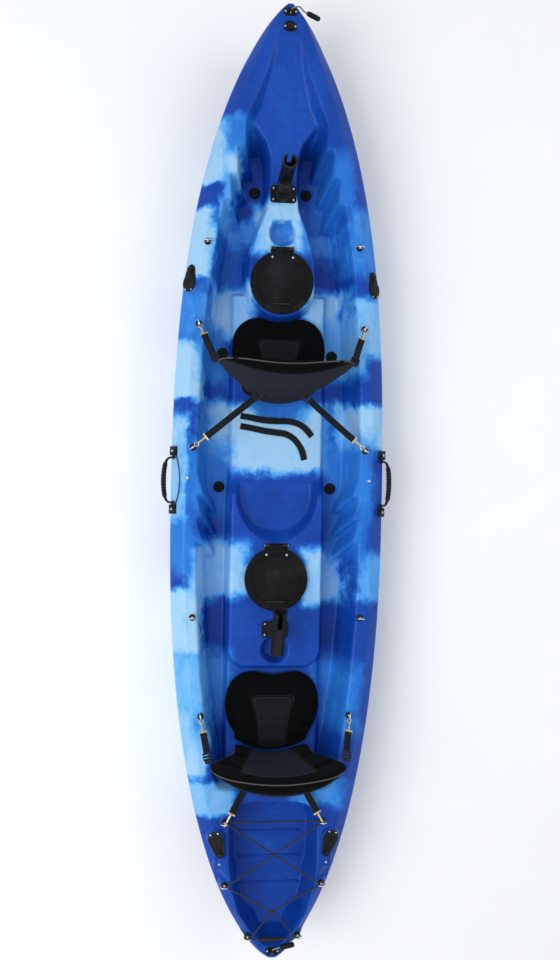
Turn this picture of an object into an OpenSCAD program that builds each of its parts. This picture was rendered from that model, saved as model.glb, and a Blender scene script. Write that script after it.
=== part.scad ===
// Tandem sit-on-top kayak, bow towards +Y, starboard towards +X, keel on Z = 0.

/* [Hull] */
// Overall length of the hull
hull_l = 3700; // [3500:10:3900]
// Greatest beam of the hull
hull_w = 860; // [820:5:900]
// Height of the gunwale ridge amidships
gunwale_h = 300; // [290:2:320]
// Rise of the gunwale from amidships to the bow
bow_rise = 100; // [80:5:120]
// Rise of the gunwale from amidships to the stern
stern_rise = 75; // [60:5:95]
// Thickness of the moulded wall
wall_t = 5; // [4:0.5:6]
// Width of the sloping outer face of the gunwale
rim_slope_w = 55; // [48:1:62]
// Width of the flat inner strip of the gunwale
rim_flat_w = 50; // [44:1:56]
// Drop from the gunwale ridge to the outer edge
rim_drop = 48; // [40:1:54]
// Depth of the tunnels between the keel and the side runners
tunnel_h = 26; // [15:1:32]

/* [Cockpit] */
// Height of the foot well floors above the keel
floor_z = 125; // [118:1:132]
// Height of the seat pan strip above the keel
pan_z = 165; // [158:1:170]
// Half width of the seat pan strip
pan_hw = 185; // [178:1:190]
// Height of the front console above the keel
console_z = 250; // [244:1:256]
// Height of the middle platform above the keel
platform_z = 236; // [230:1:242]
// Inward lean of the cockpit walls from rim to floor
wall_draft = 40; // [30:1:44]
// Reach of each foot brace tooth into the well
tooth_d = 46; // [30:1:50]
// Height of the tank well floor above the keel
tank_z = 190; // [180:1:205]
// Greatest half width of the tank well
tank_hw = 170; // [160:1:174]

/* [Hatches] */
// Outer diameter of each hatch lid
hatch_d = 254; // [248:1:258]
// Radius of the hatch hinge pins
pin_r = 3; // [2.5:0.1:4]

/* [Drains] */
// Bore of each scupper drain
scupper_d = 34; // [30:1:38]

/* [Swivel rod holders] */
// Radius of the turning post in its socket
post_r = 15; // [12:0.5:18]
// Radius of the tilt bolt
bolt_r = 4; // [3:0.5:5]
// Outer radius of the rod tube
tube_r = 27; // [25.5:0.5:28]
// Inner radius of the rod tube
tube_bore_r = 22; // [20:0.5:23]
// Length of the tube from the tilt axis to the closed end
tube_tail = 62; // [52:1:64]
// Length of the tube from the tilt axis to the mouth
tube_reach = 138; // [120:1:144]
// Width of the reel slot in the tube
slot_w = 18; // [12:1:24]

/* [Flush rod holders] */
// Thickness of the flange
flush_t = 4; // [3:0.5:6]
// Outer radius of the blind tube
flush_or = 25; // [24:0.5:26]
// Inner radius of the blind tube
flush_bore_r = 21; // [19.5:0.5:21.5]
// Depth of the blind tube below the flange
flush_l = 150; // [120:5:155]

/* [Carry handles] */
// Length of each carry handle between its caps
handle_l = 196; // [180:2:220]
// Radius of the handle grip
grip_r = 11; // [9:0.5:12]

/* [Seats] */
// Half width of each seat cushion
seat_hw = 198; // [180:2:204]
// Half length of each seat cushion
seat_hl = 167; // [150:1:170]
// Thickness of each seat cushion
seat_t = 46; // [38:1:50]
// Height of each backrest
back_h = 412; // [380:4:430]
// Greatest half width of each backrest
back_hw = 266; // [240:2:272]
// Thickness of each backrest
back_t = 44; // [34:1:48]
// Width of the seat webbing
strap_w = 26; // [20:1:30]

/* [Cords] */
// Radius of the tank well bungee
bungee_r = 3; // [2.5:0.25:3.5]
// Radius of the toggle cords
toggle_cord_r = 3; // [2.5:0.25:3.5]

/* [Hidden] */
// running clearance of pins and posts that turn, and of parts that only sit in place
turn_gap = 0.3;
set_gap = 0.15;
half_l = hull_l / 2;
// station of greatest beam, a little aft of amidships
beam_y = -120;
rim_w = rim_slope_w + rim_flat_w;
keel_hw = 28;

// half beam at the outer edge of the gunwale
function half_beam(y) =
    let (fore = y > beam_y,
         run = fore ? half_l - beam_y : half_l + beam_y,
         s = min(0.998, abs(y - beam_y) / run * 0.998),
         p = fore ? 2.72 : 2.25,
         q = fore ? 0.70 : 0.58)
    hull_w / 2 * pow(1 - pow(s, p), q);

// height of the gunwale ridge
function sheer(y) = gunwale_h + (y > 0 ? bow_rise : stern_rise) * pow(abs(y) / half_l, 2.2);

// height of the keel line, flat amidships and swept up to the ends
function keel(y) =
    let (flat = half_l * 0.51,
         u = max(0, (abs(y) - flat) / (half_l - flat)),
         k = y > 0 ? 1 : 0.85)
    k * (70 * pow(u, 2) + 180 * pow(u, 8));

// share of a full width left at a station, for forms that fade towards the tips
function fade(y, w) = min(1, half_beam(y) / w);

// one half of the hull section from keel to deck centre, moved inward by an inset
function half_ring(y, d) =
    let (b = max(4, half_beam(y) - d),
         f = half_beam(y) / (hull_w / 2),
         k = keel(y) + d,
         s = sheer(y) - d,
         e = s - (rim_drop - d) * fade(y, 150),
         lift = 80 * (1 - f),
         h = e - k)
    [[keel_hw * f, k],
     [105 * f, k + min(tunnel_h * f + lift * 0.5, h * 0.5)],
     [162 * f, k + min(lift, h * 0.55)],
     [218 * f, k + min(lift, h * 0.6)],
     [b * 0.87, k + h * 0.66 * (1 - f) + h * 0.34 * f],
     [b * 0.975, k + h * 0.8],
     [b, e],
     [b - (rim_slope_w - d * 0.4) * fade(y, 190) * (b / half_beam(y)), s],
     [b - min(b * 0.6, rim_w), s - 4]];

function full_ring(y, d) =
    let (h = half_ring(y, d), n = len(h))
    concat([for (p = h) [p[0], y, p[1]]],
           [for (i = [n - 1 : -1 : 0]) [-h[i][0], y, h[i][1]]]);

// closed skin over rings of equal count, each ring running the same way
module loft(rings) {
    n = len(rings[0]);
    m = len(rings);
    points = [for (r = rings) each r];
    sides = [for (j = [0 : m - 2]) for (i = [0 : n - 1])
        let (a = j * n + i, b = j * n + (i + 1) % n)
        each [[a, b, b + n], [a, b + n, a + n]]];
    first = [[for (i = [n - 1 : -1 : 0]) i]];
    last = [[for (i = [0 : n - 1]) (m - 1) * n + i]];
    polyhedron(points, concat(sides, first, last), convexity = 8);
}

// stations from stern to bow, closer together towards the tips
stations = 34;
function hull_stations(trim) =
    [for (i = [0 : stations]) (half_l - trim) * sin(-90 + 180 * i / stations)];

module hull_loft(d) {
    loft([for (y = hull_stations(d * 22)) full_ring(y, d)]);
}

// trench open at the top, from stations of [y, rim half width, floor half width, floor height]
module trench(table, d) {
    top = gunwale_h + bow_rise + 60;
    loft([for (s = table)
        [[-s[2] - d, s[0], s[3] - d], [s[2] + d, s[0], s[3] - d],
         [s[1] + d, s[0], sheer(s[0])], [s[1] + d + 6, s[0], top],
         [-s[1] - d - 6, s[0], top], [-s[1] - d, s[0], sheer(s[0])]]]);
}

// raised block from stations of [y, half width, top height]
module rise(table, draft, d) {
    bottom = floor_z - 45;
    loft([for (s = table)
        [[-s[1] - draft + d, s[0], bottom], [s[1] + draft - d, s[0], bottom],
         [s[1] - d, s[0], s[2] - d], [-s[1] + d, s[0], s[2] - d]]]);
}

// sloping bow panel inside the rim, falling towards the console
bow_panel_y = half_l - 125;
neck_y = half_l - 550;
function panel_z(y) = lookup(y, [[neck_y, console_z + 14], [bow_panel_y, sheer(bow_panel_y) - 6]]);
function panel_hw(y) = half_beam(y) - rim_w * fade(y, 190);
module bow_panel(d) {
    ys = [for (i = [0 : 6]) bow_panel_y - 55 * (6 - i)];
    trench([for (y = ys) [y, panel_hw(y), panel_hw(y) * 0.72, panel_z(y)]], d);
}

// saw-tooth foot braces: each tooth grows aft and ends in a face to push on
tooth_n = 4;
front_tooth_y = neck_y - 60;
front_tooth_p = 92;
rear_tooth_y = -64;
rear_tooth_p = 84;
function tooth_run(y, start, pitch) =
    let (u = (start - y) / pitch)
    (u < 0 || u > tooth_n) ? 0 : tooth_d * (u - floor(u));
function tooth(y) =
    tooth_run(y, front_tooth_y, front_tooth_p) + tooth_run(y, rear_tooth_y, rear_tooth_p);
function tooth_stations(start, pitch) =
    [for (k = [tooth_n - 1 : -1 : 0]) each [start - pitch * (k + 1) + 1, start - pitch * k - 1]];

// cockpit from the wall behind the rear seat to the toe walls of the front foot wells
cockpit_back_y = -half_l + 635;
cockpit_front_y = half_l - 350;
toe_y = front_tooth_y + 110;
function cockpit_z(y) = lookup(y, [[cockpit_back_y, sheer(cockpit_back_y) - 8],
    [cockpit_back_y + 70, floor_z], [front_tooth_y, floor_z], [toe_y, console_z],
    [cockpit_front_y, panel_z(cockpit_front_y) + 2]]);
function cockpit_row(y) =
    let (top = half_beam(y) - rim_w)
    [y, top - tooth(y) * 0.3, top - wall_draft - tooth(y), cockpit_z(y)];
module cockpit(d) {
    ys = concat([cockpit_back_y, cockpit_back_y + 70, -1000, -820, -640, -480],
        tooth_stations(rear_tooth_y, rear_tooth_p), [0, 200, 400, 600, 800],
        tooth_stations(front_tooth_y, front_tooth_p),
        [front_tooth_y, toe_y, toe_y + 70, cockpit_front_y]);
    trench([for (y = ys) cockpit_row(y)], d);
}

// strip down the middle of the cockpit that carries both seats
module pan(d) {
    rise([[cockpit_back_y + 40, pan_hw, pan_z], [760, pan_hw, pan_z]], 8, d);
}

// console from the bow panel through the neck to the round front hatch platform
front_hatch_y = half_l - 1050;
console_r = hatch_d / 2 + 11;
function console_top(y) = lookup(y, [[neck_y - 90, console_z], [neck_y, panel_z(neck_y)],
    [bow_panel_y, panel_z(bow_panel_y)]]);
module front_console(d) {
    ys = [front_hatch_y, front_hatch_y + 100, 1010, 1100, 1200, neck_y, neck_y + 50, neck_y + 110,
        neck_y + 170];
    hws = [console_r, console_r - 8, 98, 62, 54, 56, 74, 120, 165];
    rise([for (i = [0 : len(ys) - 1]) [ys[i], hws[i], console_top(ys[i])]], 10, d);
    translate([0, front_hatch_y, floor_z - 45])
        cylinder(r = console_r - d, h = console_z - floor_z + 45 - d, $fn = 48);
}

// platform behind the middle seat, with arms either side of the seat
rear_hatch_y = -392;
child_y = -50;
child_r = 150;
platform_back_y = -750;
module middle_platform(d) {
    rise([[platform_back_y, 132, platform_z], [platform_back_y + 22, 166, platform_z],
        [platform_back_y + 60, pan_hw, platform_z], [child_y, pan_hw, platform_z],
        [child_y + 48, pan_hw, pan_z + 4]], 8, d);
}
module child_seat(d) {
    translate([0, child_y, pan_z + 5 - d])
        cylinder(r = child_r + d, h = 200, $fn = 48);
    translate([-child_r - d, child_y, pan_z + 5 - d])
        cube([2 * (child_r + d), 140, 200]);
}

// open well behind the rear seat
tank_front_y = -half_l + 555;
function tank_row(y, hw) =
    [y, hw, hw * 0.93, lookup(y, [[-half_l + 55, tank_z + 75], [-half_l + 190, tank_z]])];
module tank(d) {
    trench([tank_row(-half_l + 55, 30), tank_row(-half_l + 110, tank_hw * 0.5),
        tank_row(-half_l + 160, tank_hw * 0.75), tank_row(-half_l + 250, tank_hw * 0.91),
        tank_row(-half_l + 350, tank_hw * 0.98), tank_row(tank_front_y - 40, tank_hw),
        tank_row(tank_front_y, tank_hw * 0.95)], d);
}

// drink wells in the console and the platform
cup_d = 95;
cup_h = 70;
front_cup_y = half_l - 847;
rear_cup_y = -680;
module cups(d) {
    translate([0, front_cup_y, console_z - cup_h - d])
        cylinder(d = cup_d + 2 * d, h = cup_h + 40 + d, $fn = 40);
    translate([0, rear_cup_y, platform_z - cup_h - d])
        cylinder(d = cup_d + 2 * d, h = cup_h + 40 + d, $fn = 40);
}

// the moulded form, either its outside (inset 0) or its inside (inset by the wall)
module form(d) {
    difference() {
        union() {
            difference() {
                hull_loft(d);
                bow_panel(d);
                cockpit(d);
                tank(d);
            }
            pan(d);
            front_console(d);
            difference() {
                middle_platform(d);
                child_seat(d);
            }
        }
        cups(d);
    }
}

// hole under each hatch, and the points that share it
hatch_hole_r = hatch_d / 2 - 23;
hinge_off = hatch_d / 2 + 9;
hinge_z = 12;
hatch_spots = [[0, front_hatch_y, console_z], [0, rear_hatch_y, platform_z]];

// drains through the floor
scuppers = [[107, 1194], [228, 526], [232, -25]];
scupper_r = scupper_d / 2;

// height of the gunwale surface at a distance in from the outer edge
function rim_z(y, inset) =
    let (w = rim_slope_w * fade(y, 190))
    inset >= w ? sheer(y) : sheer(y) - rim_drop * fade(y, 150) * (1 - inset / w);

// deck anchors as [y, distance in from the outer edge], bow to stern
anchors = [[935, 72], [615, 80], [130, 86], [-538, 86], [-923, 90], [-1334, 112], [-1572, 36],
    [-1766, 22]];
boss_h = 2;
function anchor_at(i, side) =
    [side * (half_beam(anchors[i][0]) - anchors[i][1]), anchors[i][0], sheer(anchors[i][0]) + boss_h];
strap_post_y = 10;
strap_post_in = 68;
function post_at(side) =
    [side * (half_beam(strap_post_y) - strap_post_in), strap_post_y, sheer(strap_post_y) + boss_h];

module mirror_side(side) {
    mirror([side < 0 ? 1 : 0, 0, 0]) children();
}

// frame on the sloping face of the starboard gunwale, z out of the face, y along the edge
rim_angle = atan(rim_drop / rim_slope_w);
module on_rim(y, inset, lean, lift) {
    turn = -atan((half_beam(y + 40) - half_beam(y - 40)) / 80);
    translate([half_beam(y) - inset, y, rim_z(y, inset)])
        rotate([0, 0, turn]) rotate([0, lean, 0]) translate([0, 0, lift]) children();
}

module boss(at, r) {
    translate(at) hull() {
        translate([0, 0, -1]) cylinder(r = r, h = 1, $fn = 18);
        translate([0, 0, -36]) cylinder(r = r + 9, h = 1, $fn = 18);
    }
}

// flush rod holders as [y, distance in, lean of the face, lift, fore and aft turn]
flush_spots = [[792, 28, rim_angle, 3, 180], [-1414, 64, 16, 9, 0]];
flush_tube_lean = 16;
flush_tube_rake = 20;
flush_mouth_y = 12;
module flush_outline(grow) {
    hull() {
        translate([0, 18]) circle(r = 32 + grow, $fn = 40);
        translate([0, -38]) circle(r = 19 + grow, $fn = 32);
    }
}
module flush_frame(i) {
    f = flush_spots[i];
    on_rim(f[0], f[1], f[2], f[3]) rotate([0, 0, f[4]]) children();
}
// axis of the rod tube, z out of its mouth
module flush_axis(i) {
    f = flush_spots[i];
    side_lean = flush_tube_lean - f[2];
    flush_frame(i) translate([0, flush_mouth_y, flush_t])
        rotate([0, 0, -f[4]]) rotate([0, side_lean, 0]) rotate([0, 0, f[4]])
            rotate([flush_tube_rake, 0, 0]) children();
}

// carry handle pivots on the outer face of the gunwale
handle_in = 18;
cap_l = 36;
cap_w = 26;
cap_t = 16;
cap_y = handle_l / 2 + 17;
pivot_lift = 10;
cap_lift = 2;
module cap_frame(y) {
    translate([half_beam(0) - handle_in, y, rim_z(0, handle_in)])
        rotate([0, rim_angle, 0]) translate([0, 0, cap_lift]) children();
}

// end fittings
bow_eye_y = half_l - 32;
drain_y = half_l - 86;
stern_eye_y = -half_l + 27;
function deck_z(y) = sheer(y) + 3;
module end_pad(y, w, l) {
    translate([0, y, deck_z(y)]) hull() {
        translate([-w / 2, -l / 2, -2]) cube([w, l, 2]);
        translate([-w / 2 - 5, -l / 2 - 5, -20]) cube([w + 10, l + 10, 1]);
    }
}

// moulded pads and scoops beside the tank well
side_pad = [-1497, 44];
scoop = [-1548, 26];
side_pad_at = [half_beam(side_pad[0]) - side_pad[1], side_pad[0], rim_z(side_pad[0], side_pad[1]) + 5];
module side_pads() {
    translate(side_pad_at) hull() {
        translate([-20, -18, -2]) cube([40, 36, 2]);
        translate([-25, -23, -30]) cube([50, 46, 1]);
    }
}
module scoops(d) {
    on_rim(scoop[0], scoop[1], rim_angle, 34) sphere(r = 44 + d, $fn = 24);
}

// low ribs across the tank floor
tank_ribs = [-1425, -1528, -1632];
module tank_rib_bars() {
    for (y = tank_ribs)
        translate([0, y, tank_z]) hull() {
            translate([-tank_hw * 0.78, -6, -3]) cube([tank_hw * 1.56, 12, 3]);
            translate([-tank_hw * 0.75, -2, 0]) cube([tank_hw * 1.5, 4, 5]);
        }
}

module hull_pads() {
    for (i = [0 : len(anchors) - 1], side = [-1, 1]) boss(anchor_at(i, side), 15);
    for (side = [-1, 1]) {
        boss(post_at(side), 9);
        mirror_side(side) {
            side_pads();
            for (i = [0, 1]) flush_frame(i) hull() {
                translate([0, 0, -1]) linear_extrude(1) flush_outline(3);
                translate([0, 0, -26]) linear_extrude(1) flush_outline(7);
            }
            for (y = [-cap_y, cap_y]) cap_frame(y) hull() {
                translate([-cap_w / 2 - 1, -cap_l / 2 - 1, -1]) cube([cap_w + 2, cap_l + 2, 1]);
                translate([-cap_w / 2 - 4, -cap_l / 2 - 4, -8]) cube([cap_w + 8, cap_l + 8, 1]);
            }
        }
    }
    end_pad(bow_eye_y, 62, 36);
    end_pad(drain_y, 58, 46);
    end_pad(stern_eye_y, 62, 34);
}

module hull_shell() {
    color("royalblue") difference() {
        union() {
            difference() {
                union() {
                    form(0);
                    hull_pads();
                }
                form(wall_t);
                for (side = [-1, 1]) mirror_side(side) scoops(0);
            }
            for (side = [-1, 1]) mirror_side(side) intersection() {
                scoop_shell();
                form(wall_t / 2);
            }
            intersection() {
                tank_rib_bars();
                translate([-tank_hw, -half_l, 0]) cube([2 * tank_hw, half_l, hull_w]);
            }
            intersection() {
                hull_loft(wall_t / 2);
                for (s = scuppers, side = [-1, 1]) translate([side * s[0], s[1], 0])
                    cylinder(r = scupper_r + wall_t, h = floor_z - 1, $fn = 24);
            }
        }
        for (s = scuppers, side = [-1, 1])
            translate([side * s[0], s[1], -1]) cylinder(r = scupper_r, h = floor_z + 20, $fn = 24);
        for (p = hatch_spots)
            translate([p[0], p[1], p[2] - 40]) cylinder(r = hatch_hole_r, h = 80, $fn = 64);
        for (side = [-1, 1], i = [0, 1]) mirror_side(side) flush_axis(i)
            translate([0, 0, -46]) cylinder(r = flush_or + 1.5, h = 90, $fn = 32);
    }
}
module scoop_shell() {
    difference() {
        scoops(wall_t);
        scoops(0);
    }
}

// round hatch: frame set in the deck, local z = 0 on the deck
module hatch_frame() {
    neck = hatch_hole_r - 1;
    rim = hatch_d / 2 - 6;
    difference() {
        union() {
            rotate_extrude($fn = 96)
                polygon([[neck - 6, -22], [neck, -22], [neck, 0], [rim, 0], [rim, 6], [neck - 1, 6],
                    [neck - 1, 14], [neck - 6, 14]]);
            for (side = [-1, 1]) {
                translate([side * 38 - 8, rim - 8, 0]) cube([16, hinge_off - rim + 16, 5]);
                translate([side * 38 - 8, hinge_off - 8, 0]) cube([16, 16, hinge_z]);
                translate([side * 38 - 8, hinge_off, hinge_z]) rotate([0, 90, 0])
                    cylinder(r = 8, h = 16, $fn = 32);
            }
        }
        translate([-60, hinge_off, hinge_z]) rotate([0, 90, 0])
            cylinder(r = pin_r + set_gap, h = 120, $fn = 32);
    }
}
module hatch_seal() {
    rotate_extrude($fn = 96)
        translate([hatch_hole_r - 6.6, 14]) square([4, 2.7]);
}
module hatch_pin() {
    translate([0, hinge_off, hinge_z]) rotate([0, 90, 0]) {
        cylinder(r = pin_r, h = 97, center = true, $fn = 32);
        for (side = [-1, 1]) translate([0, 0, side * 47.5])
            cylinder(r = 5, h = 3, center = true, $fn = 32);
    }
}
lid_z = 17;
module lid_pocket() {
    translate([-24, -hatch_d * 0.35, 0]) circle(r = 21, $fn = 40);
    translate([24, -hatch_d * 0.35, 0]) circle(r = 21, $fn = 40);
    translate([-24, -hatch_d * 0.35 - 21, 0]) square([48, 42]);
}
module hatch_lid() {
    r = hatch_d / 2;
    difference() {
        union() {
            difference() {
                rotate_extrude($fn = 96)
                    polygon([[0, lid_z], [r - 4, lid_z], [r - 4, 7], [r, 7], [r, lid_z + 2],
                        [r - 6, lid_z + 5], [r - 24, lid_z + 6], [r - 26, lid_z + 4.5],
                        [r - 30, lid_z + 4.5], [r - 32, lid_z + 6.5], [0, lid_z + 8.5]]);
                translate([-50, r - 16, 0]) cube([100, 40, lid_z]);
            }
            translate([-28.5, r - 12, hinge_z]) cube([57, hinge_off - r + 12, 8]);
            translate([-28.5, hinge_off, hinge_z]) rotate([0, 90, 0])
                cylinder(r = 8, h = 57, $fn = 32);
        }
        translate([0, 0, lid_z + 3]) linear_extrude(20) lid_pocket();
        translate([-60, hinge_off, hinge_z]) rotate([0, 90, 0])
            cylinder(r = pin_r + turn_gap, h = 120, $fn = 32);
    }
}
module hatch_pull() {
    translate([0, -hatch_d * 0.35, lid_z + 3]) {
        translate([-36, 0, 7.5]) rotate([0, 90, 0]) cylinder(r = 4.5, h = 72, $fn = 24);
        for (side = [-1, 1]) translate([side * 33 - 3, -5, 0]) cube([6, 10, 7.5]);
    }
}
module screw(r) {
    difference() {
        rotate_extrude($fn = 32)
            polygon([[0, 0], [r, 0], [r, r * 0.3], [r * 0.75, r * 0.58], [0, r * 0.68]]);
        translate([-r * 0.7, -r * 0.12, r * 0.42]) cube([r * 1.4, r * 0.24, r]);
        translate([-r * 0.12, -r * 0.7, r * 0.42]) cube([r * 0.24, r * 1.4, r]);
    }
}
module lid_screws() {
    for (side = [-1, 1]) translate([side * 41, hatch_d * 0.39, lid_z + 6.02]) screw(5);
}

// swivelling rod holder: base on the deck, turning post, tilting tube
rod_spots = [[0, half_l - 693, console_z], [0, -595, platform_z]];
rod_turn = [180, 0];
rod_tilt = [95, 28];
pivot_z = 104;
tube_off = tube_r + 17;
slot_l = 62;
base_w = 105;
base_l = 68;
plate_t = 7;
base_r = 26;
base_h = 29;
socket_z = 5;
module rounded_plate(w, l, r) {
    translate([-w / 2 + r, -l / 2]) square([w - 2 * r, l]);
    translate([-w / 2, -l / 2 + r]) square([w, l - 2 * r]);
    for (x = [-1, 1], y = [-1, 1])
        translate([x * (w / 2 - r), y * (l / 2 - r)]) circle(r = r, $fn = 32);
}
module rod_base() {
    difference() {
        union() {
            linear_extrude(plate_t) rounded_plate(base_w, base_l, 12);
            cylinder(r = base_r, h = base_h, $fn = 64);
        }
        translate([0, 0, socket_z]) cylinder(r = post_r + turn_gap, h = 40, $fn = 64);
    }
}
module rod_collar() {
    translate([0, 0, plate_t]) difference() {
        cylinder(r = 33, h = 17, $fn = 64);
        translate([0, 0, -1]) cylinder(r = base_r + turn_gap, h = 20, $fn = 64);
        for (i = [0 : 11]) rotate([0, 0, i * 30]) translate([34.5, 0, -1])
            cylinder(r = 3, h = 20, $fn = 24);
    }
}
module rod_post() {
    difference() {
        union() {
            translate([0, 0, socket_z + turn_gap])
                cylinder(r = post_r, h = base_h - socket_z + 2, $fn = 64);
            translate([0, 0, base_h + 1]) cylinder(r = 22, h = 6, $fn = 64);
            translate([0, 0, base_h + 7]) cylinder(r = 11, h = pivot_z - base_h - 33, $fn = 48);
            translate([-18, -13, pivot_z - 30]) cube([36, 26, 10]);
            for (side = [-1, 1]) {
                translate([side * 14.75 - 3.25, -13, pivot_z - 22]) cube([6.5, 26, 22]);
                translate([side * 14.75 - 3.25, 0, pivot_z]) rotate([0, 90, 0])
                    cylinder(r = 13, h = 6.5, $fn = 48);
            }
        }
        translate([-30, 0, pivot_z]) rotate([0, 90, 0])
            cylinder(r = bolt_r + set_gap, h = 60, $fn = 32);
    }
}
module tilt_bolt() {
    translate([0, 0, pivot_z]) rotate([0, 90, 0]) {
        translate([0, 0, -21]) cylinder(r = bolt_r, h = 42, $fn = 32);
        translate([0, 0, -23]) cylinder(r = 7.5, h = 5, $fn = 32);
        difference() {
            translate([0, 0, 18]) cylinder(r = 16, h = 12, $fn = 48);
            for (i = [0 : 5]) rotate([0, 0, i * 60]) translate([19, 0, 17])
                cylinder(r = 5.5, h = 14, $fn = 24);
        }
    }
}
// tube with its mouth towards +Y, tilt axis on the origin
module rod_tube() {
    difference() {
        union() {
            rotate([0, 90, 0]) cylinder(r = 12, h = 22, center = true, $fn = 48);
            translate([-11, -12, 0]) cube([22, 24, tube_off - tube_r + 4]);
            translate([0, -tube_tail, tube_off]) rotate([-90, 0, 0])
                cylinder(r = tube_r, h = tube_tail + tube_reach, $fn = 64);
            translate([0, tube_reach - 8, tube_off]) rotate([-90, 0, 0])
                cylinder(r = tube_r + 3, h = 8, $fn = 64);
        }
        rotate([0, 90, 0]) cylinder(r = bolt_r + turn_gap, h = 40, center = true, $fn = 32);
        translate([0, -tube_tail + 6, tube_off]) rotate([-90, 0, 0])
            cylinder(r = tube_bore_r, h = tube_tail + tube_reach, $fn = 64);
        translate([0, -tube_tail - 1, tube_off]) rotate([-90, 0, 0])
            cylinder(r = 7, h = 10, $fn = 32);
        translate([-slot_w / 2, tube_reach - slot_l, tube_off]) cube([slot_w, slot_l + 8, tube_r + 10]);
        translate([0, tube_reach - slot_l, tube_off]) cylinder(d = slot_w, h = tube_r + 10, $fn = 32);
    }
}
module rod_at(i) {
    translate(rod_spots[i]) rotate([0, 0, rod_turn[i]]) children();
}
module tube_at(i) {
    rod_at(i) translate([0, 0, pivot_z]) rotate([rod_tilt[i], 0, 0]) children();
}

// flush rod holder: flange on the gunwale, blind tube into the hull, hinged cap
flush_hinge_y = -40;
flush_hinge_z = flush_t + 5;
flush_pin_r = 2;
flush_cap_r = 28;
module flush_holder(i) {
    difference() {
        union() {
            flush_frame(i) {
                linear_extrude(flush_t) flush_outline(0);
                for (side = [-1, 1]) {
                    translate([side * 9 - 2, flush_hinge_y - 4, flush_t - 1]) cube([4, 8, 6]);
                    translate([side * 9 - 2, flush_hinge_y, flush_hinge_z]) rotate([0, 90, 0])
                        cylinder(r = 4, h = 4, $fn = 24);
                }
                translate([-9, flush_hinge_y, flush_hinge_z]) rotate([0, 90, 0])
                    cylinder(r = flush_pin_r, h = 18, $fn = 24);
            }
            difference() {
                flush_axis(i) translate([0, 0, -flush_l])
                    cylinder(r = flush_or, h = flush_l + 30, $fn = 48);
                flush_frame(i) translate([-80, -80, flush_t - 1]) cube([160, 160, 80]);
            }
        }
        flush_axis(i) translate([0, 0, -flush_l + 5])
            cylinder(r = flush_bore_r, h = flush_l + 40, $fn = 48);
        flush_axis(i) translate([0, 0, -24]) cylinder(r = flush_bore_r + 2, h = 70, $fn = 48);
    }
}
module flush_cap(i) {
    flush_frame(i) difference() {
        union() {
            translate([0, flush_mouth_y, flush_t + 0.4]) cylinder(r = flush_cap_r, h = 3.4, $fn = 64);
            translate([0, flush_mouth_y, flush_t + 3.6])
                cylinder(r1 = flush_cap_r - 2, r2 = flush_cap_r - 6, h = 2, $fn = 64);
            translate([-6, flush_hinge_y, flush_t + 1]) cube([12, flush_mouth_y - flush_hinge_y, 3]);
            translate([-6, flush_hinge_y, flush_hinge_z]) rotate([0, 90, 0])
                cylinder(r = 4.4, h = 12, $fn = 24);
        }
        translate([-9, flush_hinge_y, flush_hinge_z]) rotate([0, 90, 0])
            cylinder(r = flush_pin_r + turn_gap, h = 18, $fn = 24);
    }
}

// drain stopper with a pull loop
module scupper_plug(i, side) {
    translate([side * scuppers[i][0], scuppers[i][1], floor_z]) {
        rotate_extrude($fn = 48)
            polygon([[0, -28], [scupper_r - 2, -28], [scupper_r - 0.7, -2], [scupper_r - 0.7, 0],
                [scupper_r + 6, 0], [scupper_r + 6, 4], [scupper_r + 3, 7], [0, 8]]);
        translate([0, 0, 7]) rotate([90, 0, 0]) rotate_extrude($fn = 48)
            translate([7, 0]) circle(r = 2.2, $fn = 24);
    }
}

// carry handle: two caps with stub pins, and a grip hung between them
handle_reach = 50;
handle_hang = 42;
arm_w = 9;
handle_pivot = [half_beam(0) - handle_in + (cap_lift + pivot_lift) * sin(rim_angle), 0,
    rim_z(0, handle_in) + (cap_lift + pivot_lift) * cos(rim_angle)];
stub_r = 4;
module handle_cap(y) {
    s = y > 0 ? 1 : -1;
    cap_frame(y) {
        translate([-cap_w / 2, -cap_l / 2, 0]) cube([cap_w, cap_l, cap_t]);
        translate([0, 0, pivot_lift]) rotate([90 * s, 0, 0])
            cylinder(r = stub_r, h = cap_l / 2 + 14, $fn = 32);
    }
}
// arm length runs from the pivot line to the grip
module handle_grip() {
    eye_y = cap_y - cap_l / 2 - 8;
    translate(handle_pivot) rotate([0, handle_hang, 0]) difference() {
        union() {
            for (s = [-1, 1]) {
                translate([0, s * eye_y, 0]) rotate([90, 0, 0])
                    cylinder(r = stub_r + 4, h = arm_w, center = true, $fn = 32);
                translate([0, s * eye_y - arm_w / 2, -3]) cube([handle_reach, arm_w, 6]);
            }
            translate([handle_reach, 0, 0]) rotate([90, 0, 0])
                cylinder(r = 6, h = 2 * eye_y + arm_w, center = true, $fn = 32);
            translate([handle_reach, 0, 0]) rotate([90, 0, 0])
                cylinder(r = grip_r, h = handle_l - 50, center = true, $fn = 48);
        }
        for (s = [-1, 1]) translate([0, s * eye_y, 0]) rotate([90, 0, 0])
            cylinder(r = stub_r + turn_gap, h = 20, center = true, $fn = 32);
    }
}

// deck button, drilled for a steel ring that stands in it
ring_r = 15;
wire_r = 2.2;
ring_z = 5;
button_h = 10.5;
function ring_centre(i, side) = anchor_at(i, side) + [0, 0, ring_z + ring_r];
function unit(v) = v / norm(v);
function level(v) = unit([v[0], v[1], 0]);

// local x along d, local y level, at the point p
module along(p, d) {
    h = unit(cross([0, 0, 1], d));
    n = cross(d, h);
    multmatrix([for (i = [0 : 2]) [d[i], h[i], n[i], p[i]]]) children();
}

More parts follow.
